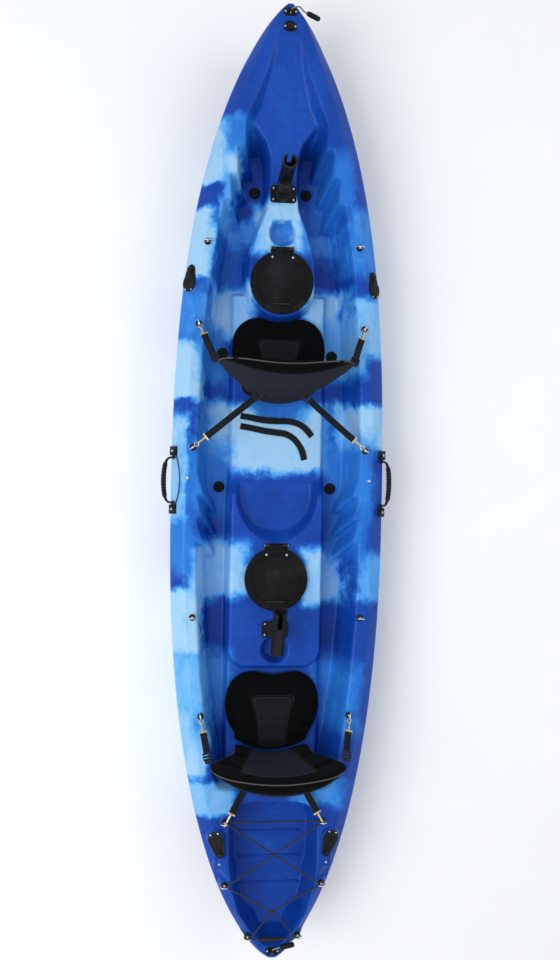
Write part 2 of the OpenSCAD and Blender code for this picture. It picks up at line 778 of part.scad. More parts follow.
// seats: cushion centre, backrest foot and its lean towards the bow
seat_dip = 30;
seat_dip_w = 75;
seat_y = [front_hatch_y - console_r - 2 - seat_hl + seat_dip, platform_back_y - 7 - seat_hl];
back_y = [for (y = seat_y) y - seat_hl - 26];
back_lean = [10, -4];
back_foot = pan_z + 8;
function back_half(v) =
    back_hw * lookup(v, [[0, 0.56], [0.3, 0.64], [0.55, 0.88], [0.72, 1], [0.88, 0.97], [1, 0.78]]);
// the sides wrap forward round the paddler
back_wrap = 75;
function back_mid(k, u, v) =
    back_y[k] + back_wrap * u * u * back_half(v) / back_hw + v * back_h * tan(back_lean[k]);
function back_z(v) = back_foot + v * back_h;
function back_thick(u, v) =
    back_t * sqrt(max(0.03, 1 - pow(abs(u), 4)))
    * lookup(v, [[0, 0.35], [0.06, 0.85], [0.15, 1], [0.85, 1], [0.95, 0.75], [1, 0.35]])
    * (1 - 0.28 * exp(-pow((v - 0.36) / 0.02, 2)) - 0.28 * exp(-pow((v - 0.66) / 0.02, 2)));

// straps: seat, anchor, height share on the backrest, width share, and in front or behind
straps = [[0, 1, 0.68, 1, 1], [0, 2, 0.42, 0.42, -1], [1, 4, 0.68, 1, 1], [1, 5, 0.42, 0.42, -1]];
function strap_end(s, side) =
    let (u = s[3], v = s[2], gap = s[4] > 0 ? 4 : -back_thick(u, v) / 2 - 4)
    [side * (back_half(v) * u + (s[4] > 0 ? 6 : 0)), back_mid(s[0], u, v) + gap, back_z(v)];
function strap_hold(s, side) =
    let (c = ring_centre(s[1], side), q = strap_end(s, side), d = unit(q - c))
    s[1] == 5 ? c + [0, 0, ring_r] : c + ring_r * d;
function strap_dir(s, side) = unit(strap_end(s, side) - strap_hold(s, side));
strap_t = 2;
hook_l = 52;
buckle_l = 34;

// bungee runs cross at these anchors, so their rings stand across the boat
function ring_heading(i, side) =
    i == 1 ? level(strap_dir(straps[0], side)) : i == 2 ? level(strap_dir(straps[1], side)) :
    i == 4 ? level(strap_dir(straps[2], side)) : [1, 0, 0];
module standing_ring(r) {
    translate([0, 0, ring_z + ring_r]) rotate([90, 0, 0]) rotate_extrude($fn = 48)
        translate([ring_r, 0]) circle(r = r, $fn = 24);
}
module at_anchor(i, side) {
    h = ring_heading(i, side);
    translate(anchor_at(i, side)) rotate([0, 0, atan2(h[1], h[0])]) children();
}
module anchor_buttons() {
    color("black") for (i = [0 : len(anchors) - 1], side = [-1, 1]) at_anchor(i, side) difference() {
        rotate_extrude($fn = 48)
            polygon([[0, 0], [13, 0], [13, 5], [11, 9], [7, button_h], [0, button_h]]);
        standing_ring(wire_r + 0.4);
    }
}
module anchor_rings() {
    color("silver") for (i = [0 : len(anchors) - 1], side = [-1, 1]) at_anchor(i, side)
        standing_ring(wire_r);
}

// snap hook: a link round the ring, a shank and a bar for the webbing
module snap_hook(s, side) {
    d = strap_dir(s, side);
    along(strap_hold(s, side), d) {
        translate([3, 0, 0]) rotate([s[1] == 5 ? 90 : 0, 0, 0]) rotate_extrude($fn = 48)
            translate([8, 0]) circle(r = 2, $fn = 24);
        translate([10.2, 0, 0]) rotate([0, 90, 0]) cylinder(r = 4, h = hook_l - 15, $fn = 32);
        translate([hook_l - 6, -strap_w / 2 - 3, -3]) cube([6, strap_w + 6, 6]);
    }
}
module seat_snap_hooks() {
    color("goldenrod") for (s = straps, side = [-1, 1]) snap_hook(s, side);
}

// flat webbing swept along points
module ribbon(pts, w, t) {
    n = len(pts);
    loft([for (i = [0 : n - 1])
        let (d = unit(pts[min(i + 1, n - 1)] - pts[max(i - 1, 0)]),
             r = unit(cross(d, [0, 0, 1])),
             u = cross(r, d),
             p = pts[i])
        [p + r * w / 2 - u * t / 2, p + r * w / 2 + u * t / 2,
         p - r * w / 2 + u * t / 2, p - r * w / 2 - u * t / 2]]);
}
module seat_strap(s, side) {
    d = strap_dir(s, side);
    a = strap_hold(s, side) + d * hook_l;
    b = strap_end(s, side) - d * buckle_l;
    sag = [for (i = [1 : 5]) a + (b - a) * i / 6 - [0, 0, 5 * sin(180 * i / 6)]];
    ribbon(concat([a, a + d * 4], sag, [b - d * 4, b]), strap_w, strap_t);
}
module seat_straps(k) {
    color("dimgray") for (s = straps, side = [-1, 1]) if (s[0] == k) seat_strap(s, side);
}
module front_seat_straps() { seat_straps(0); }
module rear_seat_straps() { seat_straps(1); }

// ladder lock sewn to the backrest by a short tab
module buckle(s, side) {
    d = strap_dir(s, side);
    along(strap_end(s, side), d) {
        difference() {
            translate([-buckle_l, -strap_w / 2 - 4, -3]) cube([buckle_l - 4, strap_w + 8, 6]);
            for (x = [-28, -16]) translate([x, -strap_w / 2, -4]) cube([6, strap_w, 8]);
        }
        translate([-5, -strap_w / 2, -1.5]) cube([14, strap_w, 3]);
    }
}
module seat_buckles(k) {
    color("black") for (s = straps, side = [-1, 1]) if (s[0] == k) buckle(s, side);
}
module front_seat_buckles() { seat_buckles(0); }
module rear_seat_buckles() { seat_buckles(1); }

// outline of the cushion at a share of its full size, hollowed at the front
seat_points = 44;
function seat_xy(a, k) =
    let (n = 2.7,
         r = 1 / pow(pow(abs(cos(a)) / seat_hw, n) + pow(abs(sin(a)) / seat_hl, n), 1 / n),
         x = r * cos(a),
         y = r * sin(a),
         taper = 1 - 0.15 * max(0, -y / seat_hl),
         dip = seat_dip * exp(-pow(x / seat_dip_w, 2)) * max(0, y / seat_hl))
    [x * taper * k, (y - dip) * k];
// cushion layers as [share of outline, share of thickness]: drawn-in foot, bulge, sewn channel, crown
seat_layers = [[0.94, 0], [0.99, 0.16], [1, 0.4], [0.985, 0.62], [0.93, 0.8], [0.82, 0.9], [0.66, 0.94],
    [0.61, 0.84], [0.57, 0.84], [0.52, 0.95], [0.3, 1], [0.08, 1]];
module seat_cushion(k) {
    color("dimgray") translate([0, seat_y[k], pan_z])
        loft([for (l = seat_layers) [for (i = [0 : seat_points - 1])
            let (q = seat_xy(-i * 360 / seat_points, l[0])) [q[0], q[1], l[1] * seat_t]]]);
}
module front_seat_cushion() { seat_cushion(0); }
module rear_seat_cushion() { seat_cushion(1); }

back_across = 20;
back_levels = [0, 0.03, 0.08, 0.15, 0.24, 0.32, 0.36, 0.4, 0.48, 0.56, 0.62, 0.66, 0.7, 0.78, 0.86, 0.93,
    0.97, 1];
module seat_back(k) {
    color("black") loft([for (v = back_levels)
        concat([for (i = [0 : back_across]) back_point(k, -1 + 2 * i / back_across, v, 0.5)],
               [for (i = [0 : back_across]) back_point(k, 1 - 2 * i / back_across, v, -0.5)])]);
}
function back_point(k, u, v, face) =
    [u * back_half(v), back_mid(k, u, v) + face * back_thick(u, v), back_z(v)];
module front_seat_back() { seat_back(0); }
module rear_seat_back() { seat_back(1); }

// loose ends of webbing lying on the pan behind the front seat
module strap_tails() {
    z = pan_z + strap_t / 2;
    color("black") {
        ribbon([[-150, 268, z], [-110, 262, z], [-70, 254, z + 5], [-30, 250, z + 9], [10, 250, z + 5],
            [50, 250, z], [90, 240, z], [122, 218, z + 4], [146, 190, z]], strap_w, strap_t);
        ribbon([[-150, 226, z], [-100, 218, z], [-50, 208, z + 4], [0, 202, z + 7], [40, 196, z + 3],
            [72, 178, z], [94, 152, z], [108, 122, z + 5], [116, 92, z]], strap_w, strap_t);
    }
}

// round cord swept along points, closed on itself if asked
cord_sides = 8;
module cord(pts, r, closed) {
    n = len(pts);
    rings = [for (i = [0 : n - 1])
        let (a = closed ? (i + n - 1) % n : max(i - 1, 0),
             b = closed ? (i + 1) % n : min(i + 1, n - 1),
             d = unit(pts[b] - pts[a]),
             w = unit(cross(d, [0, 0, 1])),
             u = cross(w, d))
        [for (k = [0 : cord_sides - 1])
            pts[i] + r * (cos(k * 360 / cord_sides) * w + sin(k * 360 / cord_sides) * u)]];
    if (closed) {
        points = [for (q = rings) each q];
        m = cord_sides;
        polyhedron(points, [for (j = [0 : n - 1]) for (i = [0 : m - 1])
            let (a = j * m + i, b = j * m + (i + 1) % m, c = ((j + 1) % n) * m + (i + 1) % m,
                 e = ((j + 1) % n) * m + i)
            each [[a, b, c], [a, c, e]]], convexity = 10);
    } else {
        loft(rings);
    }
}

// bungee laced through the six rings round the tank well, each turn bearing on the ring's inner side
lace_r = wire_r + bungee_r + 0.8;
// half turn round a ring, running aft or forward
function lace_turn(i, side, aft) =
    [for (a = [90 : -45 : -90])
        ring_centre(i, side) + [side * (lace_r * cos(a) - ring_r), lace_r * sin(a) * aft, 0]];
// where two runs cross, one passes over the other
cross_gap = bungee_r + 2;
function lace_mid(i, j, dz) =
    let (m = (ring_centre(i, 1) + ring_centre(j, -1)) / 2)
    [0, m[1], m[2] + dz];
joiner_l = 70;
module tank_bungee() {
    color("black") cord(concat(
        lace_turn(5, 1, 1), [lace_mid(5, 6, cross_gap)],
        lace_turn(6, -1, 1), [lace_mid(6, 7, cross_gap)],
        lace_turn(7, 1, 1), lace_turn(7, -1, -1), [lace_mid(6, 7, -cross_gap)],
        lace_turn(6, 1, -1), [lace_mid(5, 6, -cross_gap)],
        lace_turn(5, -1, -1)), bungee_r, true);
}
module bungee_joiner() {
    c = ring_centre(7, 1);
    color("black") translate([-joiner_l / 2 - 10, c[1] - lace_r, c[2]]) rotate([0, 90, 0]) difference() {
        cylinder(r = bungee_r + 5, h = joiner_l, $fn = 32);
        translate([0, 0, -1]) cylinder(r = bungee_r + turn_gap, h = joiner_l + 2, $fn = 32);
    }
}

// thin cord between the port handle caps, for holding a paddle
paddle_cord_r = 2;
module paddle_bungee() {
    ends = cap_y - cap_l / 2;
    straight = ends - 4;
    ys = concat([ends], [for (i = [0 : 8]) straight * (1 - i / 4)], [-ends]);
    color("black") mirror_side(-1) cord([for (y = ys)
        let (in = handle_in + 4 + 14 * (1 - pow(min(1, abs(y) / straight), 2)))
        [half_beam(0) - in, y, rim_z(0, in) + 8]], paddle_cord_r, false);
}

// screwed eye at each end with a saddle for the toggle cord
module eye_outline(w, l) {
    hull() for (side = [-1, 1]) translate([side * (w - l) / 2, 0]) circle(d = l, $fn = 40);
}
eye_t = 4;
saddle_wire_r = 3.5;
saddle_r = 2 * toggle_cord_r + saddle_wire_r + 1.5;
module end_eye(y) {
    translate([0, y, deck_z(y)]) {
        linear_extrude(eye_t) eye_outline(55, 31);
        translate([0, 0, eye_t - 0.5]) rotate([90, 0, 0]) rotate_extrude(angle = 180, $fn = 48)
            translate([saddle_r, 0]) circle(r = saddle_wire_r, $fn = 24);
    }
}
module bow_eye() { color("black") end_eye(bow_eye_y); }
module stern_eye() { color("black") end_eye(stern_eye_y); }
module drain_plug() {
    color("black") translate([0, drain_y, deck_z(drain_y)]) {
        linear_extrude(3.5) eye_outline(51, 40);
        difference() {
            translate([0, 0, 3]) cylinder(r = 13, h = 6, $fn = 48);
            translate([-10, -1.5, 6]) cube([20, 3, 4]);
        }
    }
}

// toggle grip on a short cord at each end
grip_l = 56;
module toggle(p, d) {
    along(p, d) rotate([0, 90, 0]) rotate_extrude($fn = 40)
        polygon([[0, 0], [7, 0], [9, 4], [10, 14], [10, grip_l - 14], [9, grip_l - 4], [7, grip_l],
            [0, grip_l]]);
}
cord_lift = eye_t + toggle_cord_r + 0.4;
lead = 14;
bow_cord_z = deck_z(bow_eye_y) + cord_lift;
bow_toggle_p = [66, bow_eye_y + 8, bow_cord_z - 24];
bow_toggle_d = unit([48, -12, -16]);
module bow_toggle_cord() {
    color("gray") cord([[0, bow_eye_y - 10, bow_cord_z], [0, bow_eye_y, bow_cord_z],
        [3, bow_eye_y + 8, bow_cord_z], [16, bow_eye_y + 15, bow_cord_z + 1],
        [34, bow_eye_y + 18, bow_cord_z - 1], bow_toggle_p - lead * bow_toggle_d, bow_toggle_p],
        toggle_cord_r, false);
}
module bow_toggle() { color("black") toggle(bow_toggle_p, bow_toggle_d); }
stern_cord_z = deck_z(stern_eye_y) + cord_lift;
stern_toggle_p = [30, stern_eye_y + 16, deck_z(stern_eye_y) + 11];
stern_toggle_d = unit([48, 10, 0]);
module stern_toggle_cord() {
    color("gray") cord([[0, stern_eye_y - 10, stern_cord_z], [0, stern_eye_y, stern_cord_z],
        [4, stern_eye_y + 8, stern_cord_z + 1], stern_toggle_p - lead * stern_toggle_d, stern_toggle_p],
        toggle_cord_r, false);
}
module stern_toggle() { color("black") toggle(stern_toggle_p, stern_toggle_d); }

// every fixed screw head on the deck
module deck_screws() {
    color("silver") {
        for (i = [0 : len(anchors) - 1], side = [-1, 1])
            translate(anchor_at(i, side) + [0, 0, button_h]) screw(4.5);
        for (side = [-1, 1]) translate(post_at(side)) screw(6);
        for (i = [0, 1], x = [-1, 1], y = [-1, 1])
            translate(rod_spots[i] + [x * (base_w / 2 - 12), y * (base_l / 2 - 12), plate_t]) screw(4.5);
        for (side = [-1, 1]) mirror_side(side) {
            for (i = [0, 1], x = [-1, 1]) flush_frame(i) translate([x * 15, 41.5, flush_t]) screw(3.5);
            for (y = [-cap_y, cap_y]) cap_frame(y) translate([0, 0, cap_t]) screw(5);
            translate(side_pad_at) screw(5);
        }
        for (y = [bow_eye_y, stern_eye_y], x = [-1, 1]) translate([x * 20, y, deck_z(y) + eye_t]) screw(4);
        for (x = [-1, 1]) translate([x * 19, drain_y, deck_z(drain_y) + 3.5]) screw(4);
    }
}

module front_hatch_frame() { color("black") translate(hatch_spots[0]) hatch_frame(); }
module rear_hatch_frame() { color("black") translate(hatch_spots[1]) hatch_frame(); }
module hatch_seals() { color("gray") for (p = hatch_spots) translate(p) hatch_seal(); }
module hatch_hinge_pins() { color("silver") for (p = hatch_spots) translate(p) hatch_pin(); }
module front_hatch_lid() { color("black") translate(hatch_spots[0]) hatch_lid(); }
module rear_hatch_lid() { color("black") translate(hatch_spots[1]) hatch_lid(); }
module front_hatch_pull() { color("black") translate(hatch_spots[0]) hatch_pull(); }
module rear_hatch_pull() { color("black") translate(hatch_spots[1]) hatch_pull(); }
module front_hatch_screws() { color("silver") translate(hatch_spots[0]) lid_screws(); }
module rear_hatch_screws() { color("silver") translate(hatch_spots[1]) lid_screws(); }
module front_rod_base() { color("black") rod_at(0) rod_base(); }
module rear_rod_base() { color("black") rod_at(1) rod_base(); }
module rod_lock_collars() { color("black") for (i = [0, 1]) rod_at(i) rod_collar(); }
module front_rod_post() { color("black") rod_at(0) rod_post(); }
module rear_rod_post() { color("black") rod_at(1) rod_post(); }
module front_tilt_bolt() { color("black") rod_at(0) tilt_bolt(); }
module rear_tilt_bolt() { color("black") rod_at(1) tilt_bolt(); }
module front_rod_tube() { color("black") tube_at(0) rod_tube(); }
module rear_rod_tube() { color("black") tube_at(1) rod_tube(); }
module flush_front_left() { color("black") mirror_side(-1) flush_holder(0); }
module flush_front_right() { color("black") flush_holder(0); }
module flush_rear_left() { color("black") mirror_side(-1) flush_holder(1); }
module flush_rear_right() { color("black") flush_holder(1); }
module cap_front_left() { color("black") mirror_side(-1) flush_cap(0); }
module cap_front_right() { color("black") flush_cap(0); }
module cap_rear_left() { color("black") mirror_side(-1) flush_cap(1); }
module cap_rear_right() { color("black") flush_cap(1); }
module plug_front_left() { color("black") scupper_plug(0, -1); }
module plug_front_right() { color("black") scupper_plug(0, 1); }
module plug_seat_left() { color("black") scupper_plug(1, -1); }
module plug_seat_right() { color("black") scupper_plug(1, 1); }
module plug_middle_left() { color("black") scupper_plug(2, -1); }
module plug_middle_right() { color("black") scupper_plug(2, 1); }
module left_handle_grip() { color("black") mirror_side(-1) handle_grip(); }
module right_handle_grip() { color("black") handle_grip(); }
module handle_caps() {
    color("black") for (side = [-1, 1], y = [-cap_y, cap_y]) mirror_side(side) handle_cap(y);
}

/* [Show] */
// Node to draw

hull_shell();
front_hatch_frame();
rear_hatch_frame();
hatch_seals();
hatch_hinge_pins();
front_hatch_lid();
rear_hatch_lid();
front_hatch_pull();
rear_hatch_pull();
front_hatch_screws();
rear_hatch_screws();
front_rod_base();
rear_rod_base();
rod_lock_collars();
front_rod_post();
rear_rod_post();
front_tilt_bolt();
rear_tilt_bolt();
front_rod_tube();
rear_rod_tube();
flush_front_left();
flush_front_right();
flush_rear_left();
flush_rear_right();
cap_front_left();
cap_front_right();
cap_rear_left();
cap_rear_right();
plug_front_left();
plug_front_right();
plug_seat_left();
plug_seat_right();
plug_middle_left();
plug_middle_right();
left_handle_grip();
right_handle_grip();
handle_caps();
paddle_bungee();
front_seat_cushion();
rear_seat_cushion();
front_seat_back();
rear_seat_back();
front_seat_straps();
rear_seat_straps();
front_seat_buckles();
rear_seat_buckles();
seat_snap_hooks();
strap_tails();
anchor_buttons();
anchor_rings();
tank_bungee();
bungee_joiner();
bow_eye();
stern_eye();
drain_plug();
bow_toggle_cord();
bow_toggle();
stern_toggle_cord();
stern_toggle();
deck_screws();
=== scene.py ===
import math

import bpy
import numpy as np
from mathutils import Matrix, Vector


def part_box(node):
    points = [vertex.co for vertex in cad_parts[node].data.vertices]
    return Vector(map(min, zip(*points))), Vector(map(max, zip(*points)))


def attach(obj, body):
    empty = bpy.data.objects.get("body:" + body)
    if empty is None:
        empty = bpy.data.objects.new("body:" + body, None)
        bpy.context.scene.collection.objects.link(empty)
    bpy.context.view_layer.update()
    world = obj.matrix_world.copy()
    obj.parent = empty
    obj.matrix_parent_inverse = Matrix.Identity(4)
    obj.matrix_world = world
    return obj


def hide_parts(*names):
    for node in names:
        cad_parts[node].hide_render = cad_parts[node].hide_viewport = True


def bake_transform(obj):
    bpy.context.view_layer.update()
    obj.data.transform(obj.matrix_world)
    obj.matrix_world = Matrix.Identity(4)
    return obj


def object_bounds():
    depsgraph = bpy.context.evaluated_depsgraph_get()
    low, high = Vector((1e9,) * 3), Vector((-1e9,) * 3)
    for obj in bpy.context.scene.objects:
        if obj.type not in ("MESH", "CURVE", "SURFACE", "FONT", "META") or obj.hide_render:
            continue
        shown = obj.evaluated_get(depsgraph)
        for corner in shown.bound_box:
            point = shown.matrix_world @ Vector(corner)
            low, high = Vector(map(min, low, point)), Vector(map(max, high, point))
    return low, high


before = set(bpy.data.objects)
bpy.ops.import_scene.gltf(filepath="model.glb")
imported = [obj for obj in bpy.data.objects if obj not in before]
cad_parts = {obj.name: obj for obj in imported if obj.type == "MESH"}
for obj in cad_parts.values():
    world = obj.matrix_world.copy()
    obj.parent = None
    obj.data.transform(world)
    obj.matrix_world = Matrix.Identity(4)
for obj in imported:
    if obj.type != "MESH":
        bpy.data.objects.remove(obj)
cad_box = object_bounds()


# Hull: one closed skin of rotomoulded polyethylene, coloured by tipping blue and white powder into the
# mould, so the colours meet in cloudy bands; a few of the patches are painted highlights on the brace
# ridges, and one is a painted shade in the drink well. Wells, console, braces and pads are all moulded in.
HALF_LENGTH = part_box("hull_shell")[1].y
HALF_WIDTH = 0.430
BEAM_Y = -0.120
TIP_SHARE = 0.998
BOW_FORM = (2.72, 0.70)
STERN_FORM = (2.25, 0.58)
WAIST_Z = 0.300
BOW_RISE = 0.100
STERN_RISE = 0.075
KEEL_FLAT = 0.51 * HALF_LENGTH
RIM_SLOPE = 0.055
RIM_WIDTH = 0.105
RIM_DROP = 0.048
SLOPE_FADE = 0.190
DROP_FADE = 0.150
FLOOR_Z = 0.125
PAN_Z = 0.165
PAN_HALF = 0.185
CONSOLE_Z = 0.250
PLATFORM_Z = 0.236
TANK_Z = 0.190
TANK_HALF = 0.170
WALL_DRAFT = 0.040
TOOTH_DEPTH = 0.046
TOOTH_RIM = 0.6
FRONT_TEETH = (1.340, 0.104)
REAR_TEETH = (-0.040, 0.093)
TEETH = 3
TOOTH_SLANT = 0.080
SLANT_RUN = 0.170
SOFT_EDGE = 0.0045
GROW = 0.005
AWAY = 9.0
WALL_LEVELS = 90


def half_beam(y):
    """Half the width of the boat at a station."""
    fore = y > BEAM_Y
    run = np.where(fore, HALF_LENGTH - BEAM_Y, HALF_LENGTH + BEAM_Y)
    share = np.minimum(TIP_SHARE, np.abs(y - BEAM_Y) / run * TIP_SHARE)
    inner, outer = (np.where(fore, bow, stern) for bow, stern in zip(BOW_FORM, STERN_FORM))
    return HALF_WIDTH * (1 - share**inner) ** outer


def sheer(y):
    """Height of the gunwale."""
    return WAIST_Z + np.where(y > 0, BOW_RISE, STERN_RISE) * (np.abs(y) / HALF_LENGTH) ** 2.2


def keel(y):
    """Height of the keel, which sweeps up to both ends."""
    rise = np.maximum(0, (np.abs(y) - KEEL_FLAT) / (HALF_LENGTH - KEEL_FLAT))
    return np.where(y > 0, 1, 0.85) * (0.070 * rise**2 + 0.180 * rise**8)


def fade(y, width):
    """Share of a rim detail that is left where the boat narrows."""
    return np.minimum(1, half_beam(y) / width)


def rim_top(y, inset):
    """Height of the gunwale face at a distance in from its outer edge."""
    slope = RIM_SLOPE * fade(y, SLOPE_FADE)
    return sheer(y) - RIM_DROP * fade(y, DROP_FADE) * np.maximum(0, 1 - inset / slope)


# heights are worked out on a fine raster of the plan and then softened, as a moulding has no sharp edge
CELL = 0.0025
raster_x = np.arange(-0.450, 0.4501, CELL)
raster_y = np.arange(-HALF_LENGTH - 0.02, HALF_LENGTH + 0.0201, CELL)
plan_y, plan_x = np.meshgrid(raster_y, raster_x, indexing="ij")
wide = np.abs(plan_x)


def trench(rows):
    """Height of an open well given as rows of station, rim and floor half widths, floor height and lead.

    The lead is how far the rim end of a row lies ahead of its foot, so that ridges can slant."""
    station, rim, floor, low, lead = np.array(sorted(rows)).T
    field = np.repeat(np.interp(raster_y, station, low)[:, None], len(raster_x), 1)
    for share in np.linspace(0, 1, WALL_LEVELS):
        there = station + share * lead
        half = np.interp(raster_y, there, floor + share * (rim - floor))
        level = np.interp(raster_y, there, low + share * (sheer(station + lead) - low))
        field = np.where(wide >= half[:, None], level[:, None], field)
    beyond = (wide >= half[:, None]) | (plan_y < station[0]) | (plan_y > station[-1])
    return np.where(beyond, AWAY, field)


def rise(rows, draft):
    """Height of a raised block given as rows of station, half width and top height."""
    station, half, top = np.array(sorted(rows)).T
    half = np.interp(plan_y, station, half) + GROW
    top = np.interp(plan_y, station, top)
    side = top - np.maximum(0, wide - half) / draft * (top - FLOOR_Z + 0.045)
    inside = (plan_y >= station[0] - GROW) & (plan_y <= station[-1] + GROW)
    return np.where(inside, side, -AWAY)


def tooth(y):
    """How far the saw-tooth foot braces stand in from the well wall."""
    depth = 0
    for start, pitch in (FRONT_TEETH, REAR_TEETH):
        count = (start - y) / pitch
        if 0 <= count <= TEETH:
            depth = TOOTH_DEPTH * (count % 1)
    return depth


COCKPIT_BACK = -1.215
COCKPIT_FRONT = 1.500
COCKPIT_TOE = FRONT_TEETH[0] + 0.035
BACK_WALL = COCKPIT_BACK + 0.07
FRONT_END = FRONT_TEETH[0] - TEETH * FRONT_TEETH[1]
REAR_END = REAR_TEETH[0] - TEETH * REAR_TEETH[1]
PANEL_BACK = 1.300
PANEL_NOSE = 1.725


def panel_z(y):
    """Height of the sloping bow panel."""
    return float(np.interp(y, [PANEL_BACK, PANEL_NOSE], [CONSOLE_Z + 0.014, sheer(PANEL_NOSE) - 0.006]))


def slant(y):
    """How far the rim end of a brace ridge lies ahead of its foot at a station."""
    return TOOTH_SLANT * np.interp(
        y,
        [REAR_END - SLANT_RUN, REAR_END, REAR_TEETH[0], REAR_TEETH[0] + SLANT_RUN, FRONT_END - SLANT_RUN,
         FRONT_END, FRONT_TEETH[0], COCKPIT_TOE, COCKPIT_FRONT],
        [0, 1, 1, 0, 0, 1, 1, 0.85, 0],
    )


def cockpit_row(y):
    """Section of the cockpit well at a station."""
    low = np.interp(
        y,
        [COCKPIT_BACK, BACK_WALL, FRONT_TEETH[0], COCKPIT_TOE, COCKPIT_FRONT],
        [sheer(COCKPIT_BACK) - 0.008, FLOOR_Z, FLOOR_Z, CONSOLE_Z, panel_z(COCKPIT_FRONT) + 0.002],
    )
    lead = slant(y)
    rim = half_beam(y + lead) - RIM_WIDTH - TOOTH_RIM * tooth(y)
    return y, rim, half_beam(y) - RIM_WIDTH - WALL_DRAFT - tooth(y), low, lead


def disc(middle_y, radius):
    """Distance outside a circle on the centreline."""
    return np.hypot(plan_x, plan_y - middle_y) - radius


def cut_flat(heights, distance, low):
    """Sinks a flat-bottomed hollow where the distance is negative."""
    return np.where(distance < 0, np.minimum(heights, low), heights)


tooth_rows = []
for start, pitch in (FRONT_TEETH, REAR_TEETH):
    tooth_rows.append(start - pitch * TEETH - 0.001)
    for k in range(TEETH):
        tooth_rows += [start - pitch * (k + 1) + 0.001, start - pitch * k - 0.001]
inset = half_beam(plan_y) - wide
rim_flat_end = np.minimum(0.6 * half_beam(plan_y), RIM_WIDTH)
heights = rim_top(plan_y, inset) - 0.004 * np.clip(
    (inset - RIM_SLOPE) / np.maximum(0.01, rim_flat_end - RIM_SLOPE), 0, 1)
panel_rows = []
for y in PANEL_NOSE - 0.055 * np.arange(7):
    half = half_beam(y) - RIM_WIDTH * fade(y, SLOPE_FADE)
    panel_rows.append((y, half, 0.72 * half, panel_z(y), 0))
cockpit_stations = [COCKPIT_BACK, BACK_WALL, FRONT_TEETH[0], COCKPIT_TOE, COCKPIT_TOE + 0.07, COCKPIT_FRONT]
cockpit_stations += [BACK_WALL + t * (REAR_END - BACK_WALL) for t in (0.2, 0.45, 0.7, 0.9)]
cockpit_stations += [REAR_TEETH[0] + t / 6 * (FRONT_END - REAR_TEETH[0]) for t in range(1, 6)]
TANK_BACK = -1.795
tank_rows = [
    (y, TANK_HALF * share, 0.93 * TANK_HALF * share, np.interp(y, [TANK_BACK, -1.66], [0.265, TANK_Z]), 0)
    for y, share in [(TANK_BACK, 0.18), (-1.74, 0.5), (-1.69, 0.75), (-1.60, 0.91), (-1.50, 0.98),
                     (-1.335, 1), (-1.303, 0.94), (-1.281, 0.78), (-1.271, 0.52)]
]
for rows in (panel_rows, [cockpit_row(y) for y in cockpit_stations + tooth_rows], tank_rows):
    heights = np.minimum(heights, trench(rows))

console_top = [CONSOLE_Z, CONSOLE_Z, panel_z(PANEL_BACK), panel_z(PANEL_NOSE)]
console_rows = [
    (y, half, np.interp(y, [0.8, 1.21, PANEL_BACK, PANEL_NOSE], console_top))
    for y, half in [(0.8, 0.138), (0.9, 0.130), (1.01, 0.098), (1.1, 0.062), (1.2, 0.054), (1.3, 0.056),
                    (1.35, 0.074), (1.41, 0.120), (1.47, 0.165)]
]
HATCHES = [(0.800, CONSOLE_Z), (-0.392, PLATFORM_Z)]
heights = np.maximum(heights, rise([(-1.175, PAN_HALF, PAN_Z), (0.760, PAN_HALF, PAN_Z)], 0.008))
heights = np.maximum(heights, rise(console_rows, 0.010))
heights = np.where(disc(HATCHES[0][0], 0.138 + GROW) < 0, np.maximum(heights, CONSOLE_Z), heights)
platform = rise([(-0.750, 0.132, PLATFORM_Z), (-0.728, 0.166, PLATFORM_Z), (-0.690, PAN_HALF, PLATFORM_Z),
                 (-0.050, PAN_HALF, PLATFORM_Z), (-0.002, PAN_HALF, PAN_Z + 0.004)], 0.008)
# a bucket for a child, rounder at its floor than at its rim and open towards the bow
BUCKET_Z = PAN_Z + 0.005
bucket = np.full(plan_y.shape, BUCKET_Z)
for share in np.linspace(0, 1, 34):
    outside = np.hypot(plan_x / (0.150 + 0.012 * share), (plan_y + 0.050) / (0.150 + 0.046 * share)) >= 1
    bucket = np.where(outside, BUCKET_Z + share * (PLATFORM_Z - BUCKET_Z), bucket)
platform = np.minimum(platform, bucket)
mouth = np.maximum(wide - 0.150, np.abs(plan_y - 0.020) - 0.070)
heights = np.maximum(heights, cut_flat(platform, mouth, BUCKET_Z))
CUP_R = 0.0475
CUP_DEPTH = 0.070
for y, top in ((1.003, CONSOLE_Z), (-0.680, PLATFORM_Z)):
    heights = cut_flat(heights, disc(y, CUP_R), top - CUP_DEPTH)


def rim_frame(y, inset, lean, lift):
    """Placement on the starboard gunwale: z out of the face, y along the edge."""
    edge = half_beam(np.array([y - 0.04, y, y + 0.04]))
    turn = -math.atan2(edge[2] - edge[0], 0.08)
    place = Matrix.Translation((edge[1] - inset, y, float(rim_top(y, inset))))
    return (place @ Matrix.Rotation(turn, 4, "Z") @ Matrix.Rotation(lean, 4, "Y")
            @ Matrix.Translation((0, 0, lift)))


RIM_ANGLE = math.atan2(RIM_DROP, RIM_SLOPE)
SCOOP_R = 0.044
scoop_middle = rim_frame(-1.548, 0.026, RIM_ANGLE, 0.034).translation
scoop_reach = SCOOP_R**2 - (wide - scoop_middle.x) ** 2 - (plan_y - scoop_middle.y) ** 2
scoop_floor = scoop_middle.z - np.sqrt(np.maximum(0, scoop_reach))
heights = np.where(scoop_reach > 0, np.minimum(heights, scoop_floor), heights)


